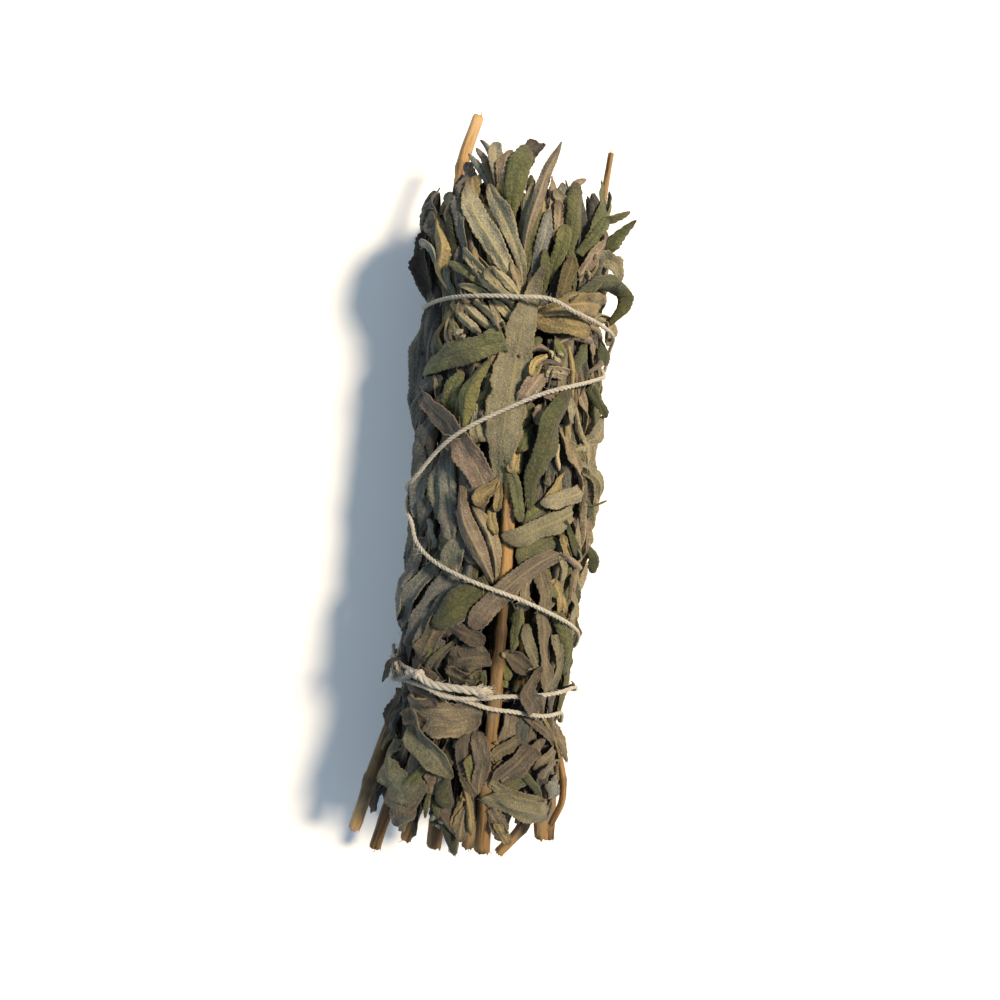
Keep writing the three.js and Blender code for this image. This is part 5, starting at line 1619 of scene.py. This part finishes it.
def lay_end_leaves():
    """Leaves that fill the two ends, close to the bundle's middle line as well."""
    for number in range(END_LEAVES):
        rng = rng_for("end", number)
        at_tips = number % 2 == 0
        lift = rng.uniform(-12, -2)
        route = random_route(rng, (0, 360), TIPS_RANGE if at_tips else FOOT_RANGE, lift, slant=14)
        # Painted shade: the end leaves lie deep inside the bundle and are kept dark.
        made = random_leaf(rng, route, (3.5, 6.5), INNER_STYLES, 50, 40, (0.5, 0.9), (-0.6, 0.3),
                           painted_shade=1 if at_tips else FOOT_PAINTED_SHADE, detail="plain", drape=False)
        keep("end", rng.choice(INNER_LOOKS), made)


MAIN_STEM_ROOM = 2.6
main_stem_line = smooth_path([on_skin((u, v)) for u, v, _ in MAIN_STEM[2]], 1.0)[:, :2]


def clear_of_main_stem(route):
    path = smooth_path(route, 2.0)[:, :2]
    return np.linalg.norm(path[:, None] - main_stem_line[None], axis=-1).min() > MAIN_STEM_ROOM


FRONT_BED = 150
BED_END = 58.0
BED_LOOKS = ["grey", "brown", "green", "pale"]
BED_SHARES = [0.35, 0.3, 0.2, 0.15]


def lay_front_bed():
    """Narrow dark leaves under the listed leaves of the front."""
    for number in range(FRONT_BED):
        rng = rng_for("bed", number)
        route = random_route(rng, (15, 165), (-64, 52), NO_LEAST, slant=16, y_end=BED_END)
        if not clear_of_main_stem(route):
            continue
        look = rng.choice(BED_LOOKS, p=BED_SHARES)
        # Painted shade: the bed leaves are darkened, as they lie deep under the front, where shade falls.
        made = random_leaf(
            rng, route, (2.4, 4.4), [look, "rolled", "folded", "cupped"], 20, 40, (0.45, 0.85), (-0.6, 0.5),
            detail="plain" if number < FRONT_BED // 2 else "even", sink=0.4, tuck=0.8,
            cap=0.2 + 1.2 * number / FRONT_BED, top_room=1.4)
        keep("bed", look, made)


UNDER_LEAVES = 170
SMALL_UNDER_LEAVES = 80
UNDER_FROM, UNDER_TO = 155, 385  # degrees round the bundle; the rest is the front's
BARE_FOOT = -50.0  # the flanks are bare stems from here to the cut ends
UNDER_SHARES = [0.2, 0.25, 0.25, 0.2, 0.1]  # of each of LOOKS
PAINTED_SHADE_GREY_FROM = 0.4  # painted shade: leaves that lie further to the left than this, where the flank is 1, are made grey for the cool shade of the flank away from the key lamp
LEFT_FLANK_PAINTED_SHADE = 0.35  # and the left flank's own leaves are that much darker, also painted shade

# Where a flank is drawn in: its side (-1 left, 1 right), its y and how far that reaches.
WAISTS = [(-1, 3, 11), (1, 6, 9), (1, -31, 4), (1, 24, 7)]
WAIST_DEPTH = 1.5


def drawn_in(angle, y):
    side = math.cos(angle)
    return WAIST_DEPTH * max(max(0.0, side * way) * bell(y, middle, reach) for way, middle, reach in WAISTS)


def clear_of_front(route, angle):
    """Whether a leaf keeps off the front, and off the flanks' bare stems."""
    on_flank = abs(math.cos(angle)) > 0.85
    if on_flank and min(place[1] for place in route) < BARE_FOOT:
        return False
    return all(UNDER_FROM < math.degrees(place[0] / METRIC_RADIUS) < UNDER_TO for place in route)


def lay_under(start, count, narrow=1.0, slant=20):
    """Leaves over the underside and the flanks, layer by layer."""
    for number in range(start, start + count):
        rng = rng_for("under", number)
        route = random_route(rng, (165, 375), (-70, 50), NO_LEAST, slant)
        angle = route[1][0] / METRIC_RADIUS
        if not clear_of_front(route, angle):
            continue
        left = max(0.0, -math.cos(angle)) * (math.sin(angle) > -0.6)
        look = rng.choice(LOOKS, p=UNDER_SHARES)
        # Painted shade: on the left flank, away from the key lamp, leaves are made grey and darker.
        if left > PAINTED_SHADE_GREY_FROM:
            look = "grey"
        made = random_leaf(
            rng, route, (3.2, 6.2), [look, look, "rolled", "folded"], 12, 30, (0.8, 1.15), (-0.7, 0.6),
            narrow=narrow, painted_shade=1 - LEFT_FLANK_PAINTED_SHADE * left, dries=(0, 0.6),
            detail="plain" if start == 0 else "even", sink=0.35, tuck=1.0,
            cap=1.5 + 1.2 * number / UNDER_LEAVES - drawn_in(angle, route[1][1]))
        keep("under", look, made)


def lay_underside_tufts():
    for number, (name, look, width, routes) in enumerate(UNDERSIDE_TUFTS):
        rng = rng_for("tuft", number)
        blades = []
        for route in routes:
            blades.append(lay_leaf(
                rng, route, width, look, detail="even", sink=0.3, roll=rng.normal(0, 8),
                twist=rng.normal(0, 20), cap=2.7, bright=rng.uniform(0.9, 1.1), hue=rng.uniform(-0.4, 0.4)))
        make_piece("fine_" + name, "leaf_" + look, blades, [name])


LEAF_RISE = 0.6
FRONT_TUCK = 1.2


def lay_front(leaves, kind):
    """The listed leaves. Those with a name replace the CAD node of that name."""
    named = {}
    for number, placed in enumerate(leaves):
        rng = rng_for(kind, number)
        item = {
            "style": placed["look"], "twist": rng.normal(0, 14), "roll": rng.normal(0, 8),
            "tuck": FRONT_TUCK, "bright": rng.uniform(0.92, 1.08), "hue": rng.uniform(-0.2, 0.2), **placed,
        }
        name, look, marked = item.pop("name"), item.pop("look"), item.pop("marks")
        made = lay_leaf(rng, [on_layers(mark, LEAF_RISE) for mark in marked], **item)
        if name:
            named.setdefault((name, look), []).append(made)
        else:
            keep("front", look, made)
    for (name, look), blades in named.items():
        make_piece("fine_" + name, "leaf_" + look, blades, [name])


# Crumbs are (u, v, size, look, bright, hue).
CRUMBS = [
    (467, 336, 1.7, "pale", 1.3, -0.4), (471, 340, 1.0, "pale", 1.3, 0), (482, 334, 1.4, "pale", 1.1, -1),
    (520, 355, 0.7, "brown", 0.6, 0), (505, 328, 1.2, "green", 1.1, 0.4), (481, 413, 1.5, "brown", 0.8, -0.4),
    (484, 418, 1.0, "brown", 0.7, 0), (552, 474, 1.3, "brown", 0.7, 0.2), (549, 481, 1.6, "brown", 0.8, 0.3),
    (554, 484, 1.0, "ochre", 0.7, 0), (425, 353, 1.4, "grey", 1.1, 0), (433, 818, 1.6, "grey", 1.2, 0),
    (440, 822, 1.3, "grey", 1.0, 0), (437, 830, 1.8, "grey", 1.2, 0), (455, 745, 1.5, "ochre", 1.2, 0.3),
    (436, 547, 1.2, "ochre", 1.0, 0.3), (505, 657, 1.1, "ochre", 1.2, 0), (560, 355, 1.3, "pale", 1.4, 0),
    (545, 368, 1.2, "brown", 0.5, -0.5), (556, 382, 1.5, "brown", 0.4, 0), (600, 322, 1.1, "pale", 1.2, 0),
    (480, 275, 0.9, "brown", 1.0, 0), (587, 276, 1.8, "pale", 1.1, -0.9), (471, 676, 1.0, "green", 1.1, 0.8),
    (528, 690, 1.0, "brown", 0.8, 0), (497, 745, 1.1, "ochre", 0.9, 0), (547, 779, 1.6, "grey", 1.1, 0),
    (462, 804, 0.9, "ochre", 1.0, 0), (412, 500, 1.2, "grey", 0.8, 0),
]

CRUMB_ROWS = np.array([-0.98, -0.7, -0.3, 0.1, 0.5, 0.8, 0.98])
CRUMB_SIDES = 8
CRUMB_FORM = (0.3, 0.5, 0)  # as on a leaf halfway up, off its rib and its rim
CRUMB_DRY = 0.2


def crumb(rng, u, v, size, look, bright, hue):
    """A broken bit of dried leaf or flower, caught between the leaves."""
    x, y, _ = on_skin((u, v))
    centre = on_bundle(x, y, lift_at(x, y) + 0.3 * size)
    run = unit(rng.normal(0, 1, 3))
    t = CRUMB_ROWS[:, None]
    turn = turns(CRUMB_SIDES)
    flake = 0.3 + 0.7 * np.abs(np.cos(turn + rng.uniform() * TAU))
    radii = size / 2 * np.sqrt(1 - t ** 2) * flake * rng.uniform(0.5, 1.3, (len(t), CRUMB_SIDES))
    path = centre + run * (t * size * 0.6) + rng.normal(0, 0.06, (len(t), 3))
    flat = grid(t * size, turn * size / 2, u)
    keep("crumbs", look, tube(ring_rows(path, radii), flat, CRUMB_FORM, [bright, hue, CRUMB_DRY]))


def build_wrap(rng):
    path = smooth_path(twine_route(), CORD_STEP)
    lift = over_crossings(path, cord_lift(path, TWINE_RADIUS))
    line = on_bundle(path[:, 0], path[:, 1], lift)
    for off in (-TWINE_RADIUS, 0, TWINE_RADIUS):
        raise_map(path[:, 0], path[:, 1] + off, lift + TWINE_RADIUS)
    wrap = plied(rng, line, PLY_RADIUS, PLY_RADIUS, PLY_PITCH)
    make_piece("fine_twine_wrap", "twine", wrap + fuzz(rng, line, 0.9, 1.3), ["twine_wrap"])


TAIL_RADIUS = 0.8
TAIL_PLY = 0.37
TAIL_PITCH = 5.0
STRAND_PITCH = 3.4
KNOT_AT = 3
FRAYED_FIBRES = 320


def build_tail(rng):
    path = smooth_path(tail_route(), CORD_STEP)
    line = on_bundle(path[:, 0], path[:, 1], cord_lift(path, TAIL_RADIUS))
    # Painted shade: the tail is darker, as it lies in shade.
    tail = plied(rng, line, TAIL_PLY * 1.12, TAIL_PLY * 0.85, TAIL_PITCH, loosen=0.4, bright=0.85)
    tail += knot(rng, line[KNOT_AT], unit(line[KNOT_AT + 2] - line[KNOT_AT - 2]))
    tail += frayed(rng, line[-1], unit(line[-1] - line[-4]), FRAYED_FIBRES)
    make_piece("fine_twine_tail", "twine", tail + fuzz(rng, line, 1.6, 1.2), ["twine_tail"])


def build_strand(rng, name, route, ply):
    """A strand that the CAD model leaves out, beside the knot."""
    path = smooth_path(route, CORD_STEP)
    lift = np.maximum(cord_lift(path, 2 * ply), path[:, 2])
    line = on_bundle(path[:, 0], path[:, 1], lift)
    # Painted shade: these strands, on the bundle's left, are darker, as they lie in shade.
    strand = plied(rng, line, ply, ply, STRAND_PITCH, bright=0.75)
    make_piece(name, "twine", strand + fuzz(rng, line, 1.2, 1.2))


def build_twine():
    rng = rng_for("twine")
    build_wrap(rng)
    build_tail(rng)
    build_strand(rng, "bow_loop", loop_route(), 0.27)
    build_strand(rng, "second_strand", second_strand_route(), 0.19)


def build_bunch():
    """From the inside outwards, since each thing lies on what the lift map holds."""
    build_stems()
    lay_inner_leaves()
    lay_end_leaves()
    lay_front_bed()
    lay_under(0, UNDER_LEAVES // 2)
    lay_underside_tufts()
    lay_under(UNDER_LEAVES // 2, UNDER_LEAVES // 2)
    lay_under(UNDER_LEAVES, SMALL_UNDER_LEAVES, narrow=0.66, slant=34)
    lay_front(FRONT_LEAVES, "front")
    for number, bit in enumerate(CRUMBS):
        crumb(rng_for("crumb", number), *bit)
    build_twine()
    lay_front(LEAVES_OVER_TWINE, "over_twine")
    for (group, look), made in loose.items():
        make_piece(f"{group}_leaves_{look}", "leaf_" + look, made)


# ---- floor, light and camera, in metres --------------------------------------------------------------

FLOOR_HALF = 2.0
FLOOR_COLOUR = (0.92, 0.87, 0.8, 1)
FLOOR_ROUGHNESS = 0.9

# Each lamp's name, where it stands from the bunch, its size, power and colour.
LAMPS = [
    ("key", (0.68, 0.33, 0.85), 0.2, 15.2, (1.0, 0.88, 0.72)),
    ("fill", (-0.85, -0.1, 0.5), 0.6, 2.2, (0.66, 0.83, 1.0)),
]
LAMP_DISTANCE = 0.9
LAMP_TARGET = (0, 0, 0.015)
SKY_COLOUR = (0.55, 0.74, 1.0, 1)
SKY_STRENGTH = 0.4

FILM_WIDTH = 36
CLIP_START = 0.001


def make_floor():
    mesh = bpy.data.meshes.new("floor")
    corners = [(-1, -1), (1, -1), (1, 1), (-1, 1)]
    mesh.from_pydata([(x * FLOOR_HALF, y * FLOOR_HALF, 0) for x, y in corners], [], [(0, 1, 2, 3)])
    floor = bpy.data.objects.new("floor", mesh)
    bpy.context.scene.collection.objects.link(floor)
    material = bpy.data.materials.new("floor")
    material.use_nodes = True
    shader = material.node_tree.nodes["Principled BSDF"]
    shader.inputs["Base Color"].default_value = FLOOR_COLOUR
    shader.inputs["Roughness"].default_value = FLOOR_ROUGHNESS
    mesh.materials.append(material)


def make_lamp(name, direction, size, power, colour):
    data = bpy.data.lights.new(name, "AREA")
    data.shape = "DISK"
    data.size = size
    data.energy = power
    data.color = colour
    lamp = bpy.data.objects.new(name, data)
    lamp.location = [c / math.hypot(*direction) * LAMP_DISTANCE for c in direction]
    lamp.rotation_euler = (Vector(LAMP_TARGET) - lamp.location).to_track_quat("-Z", "Y").to_euler()
    bpy.context.scene.collection.objects.link(lamp)


def make_light():
    for lamp in LAMPS:
        make_lamp(*lamp)
    world = bpy.data.worlds.new("world")
    world.use_nodes = True
    background = world.node_tree.nodes["Background"]
    background.inputs["Color"].default_value = SKY_COLOUR
    background.inputs["Strength"].default_value = SKY_STRENGTH
    bpy.context.scene.world = world
    bpy.context.scene.view_settings.view_transform = "Standard"


def make_camera():
    data = bpy.data.cameras.new("camera")
    data.sensor_width = FILM_WIDTH
    data.lens = FILM_WIDTH * EYE_HEIGHT / (2 * SHEET_HALF)
    data.clip_start = CLIP_START
    camera = bpy.data.objects.new("camera", data)
    place = np.array([0, 0, MID_HEIGHT + EYE_HEIGHT]) + bundle_shift
    camera.location = place / 1000
    camera.rotation_euler = (0, 0, LEAN)
    bpy.context.scene.collection.objects.link(camera)
    bpy.context.scene.camera = camera


build_bunch()
make_floor()
make_light()
make_camera()
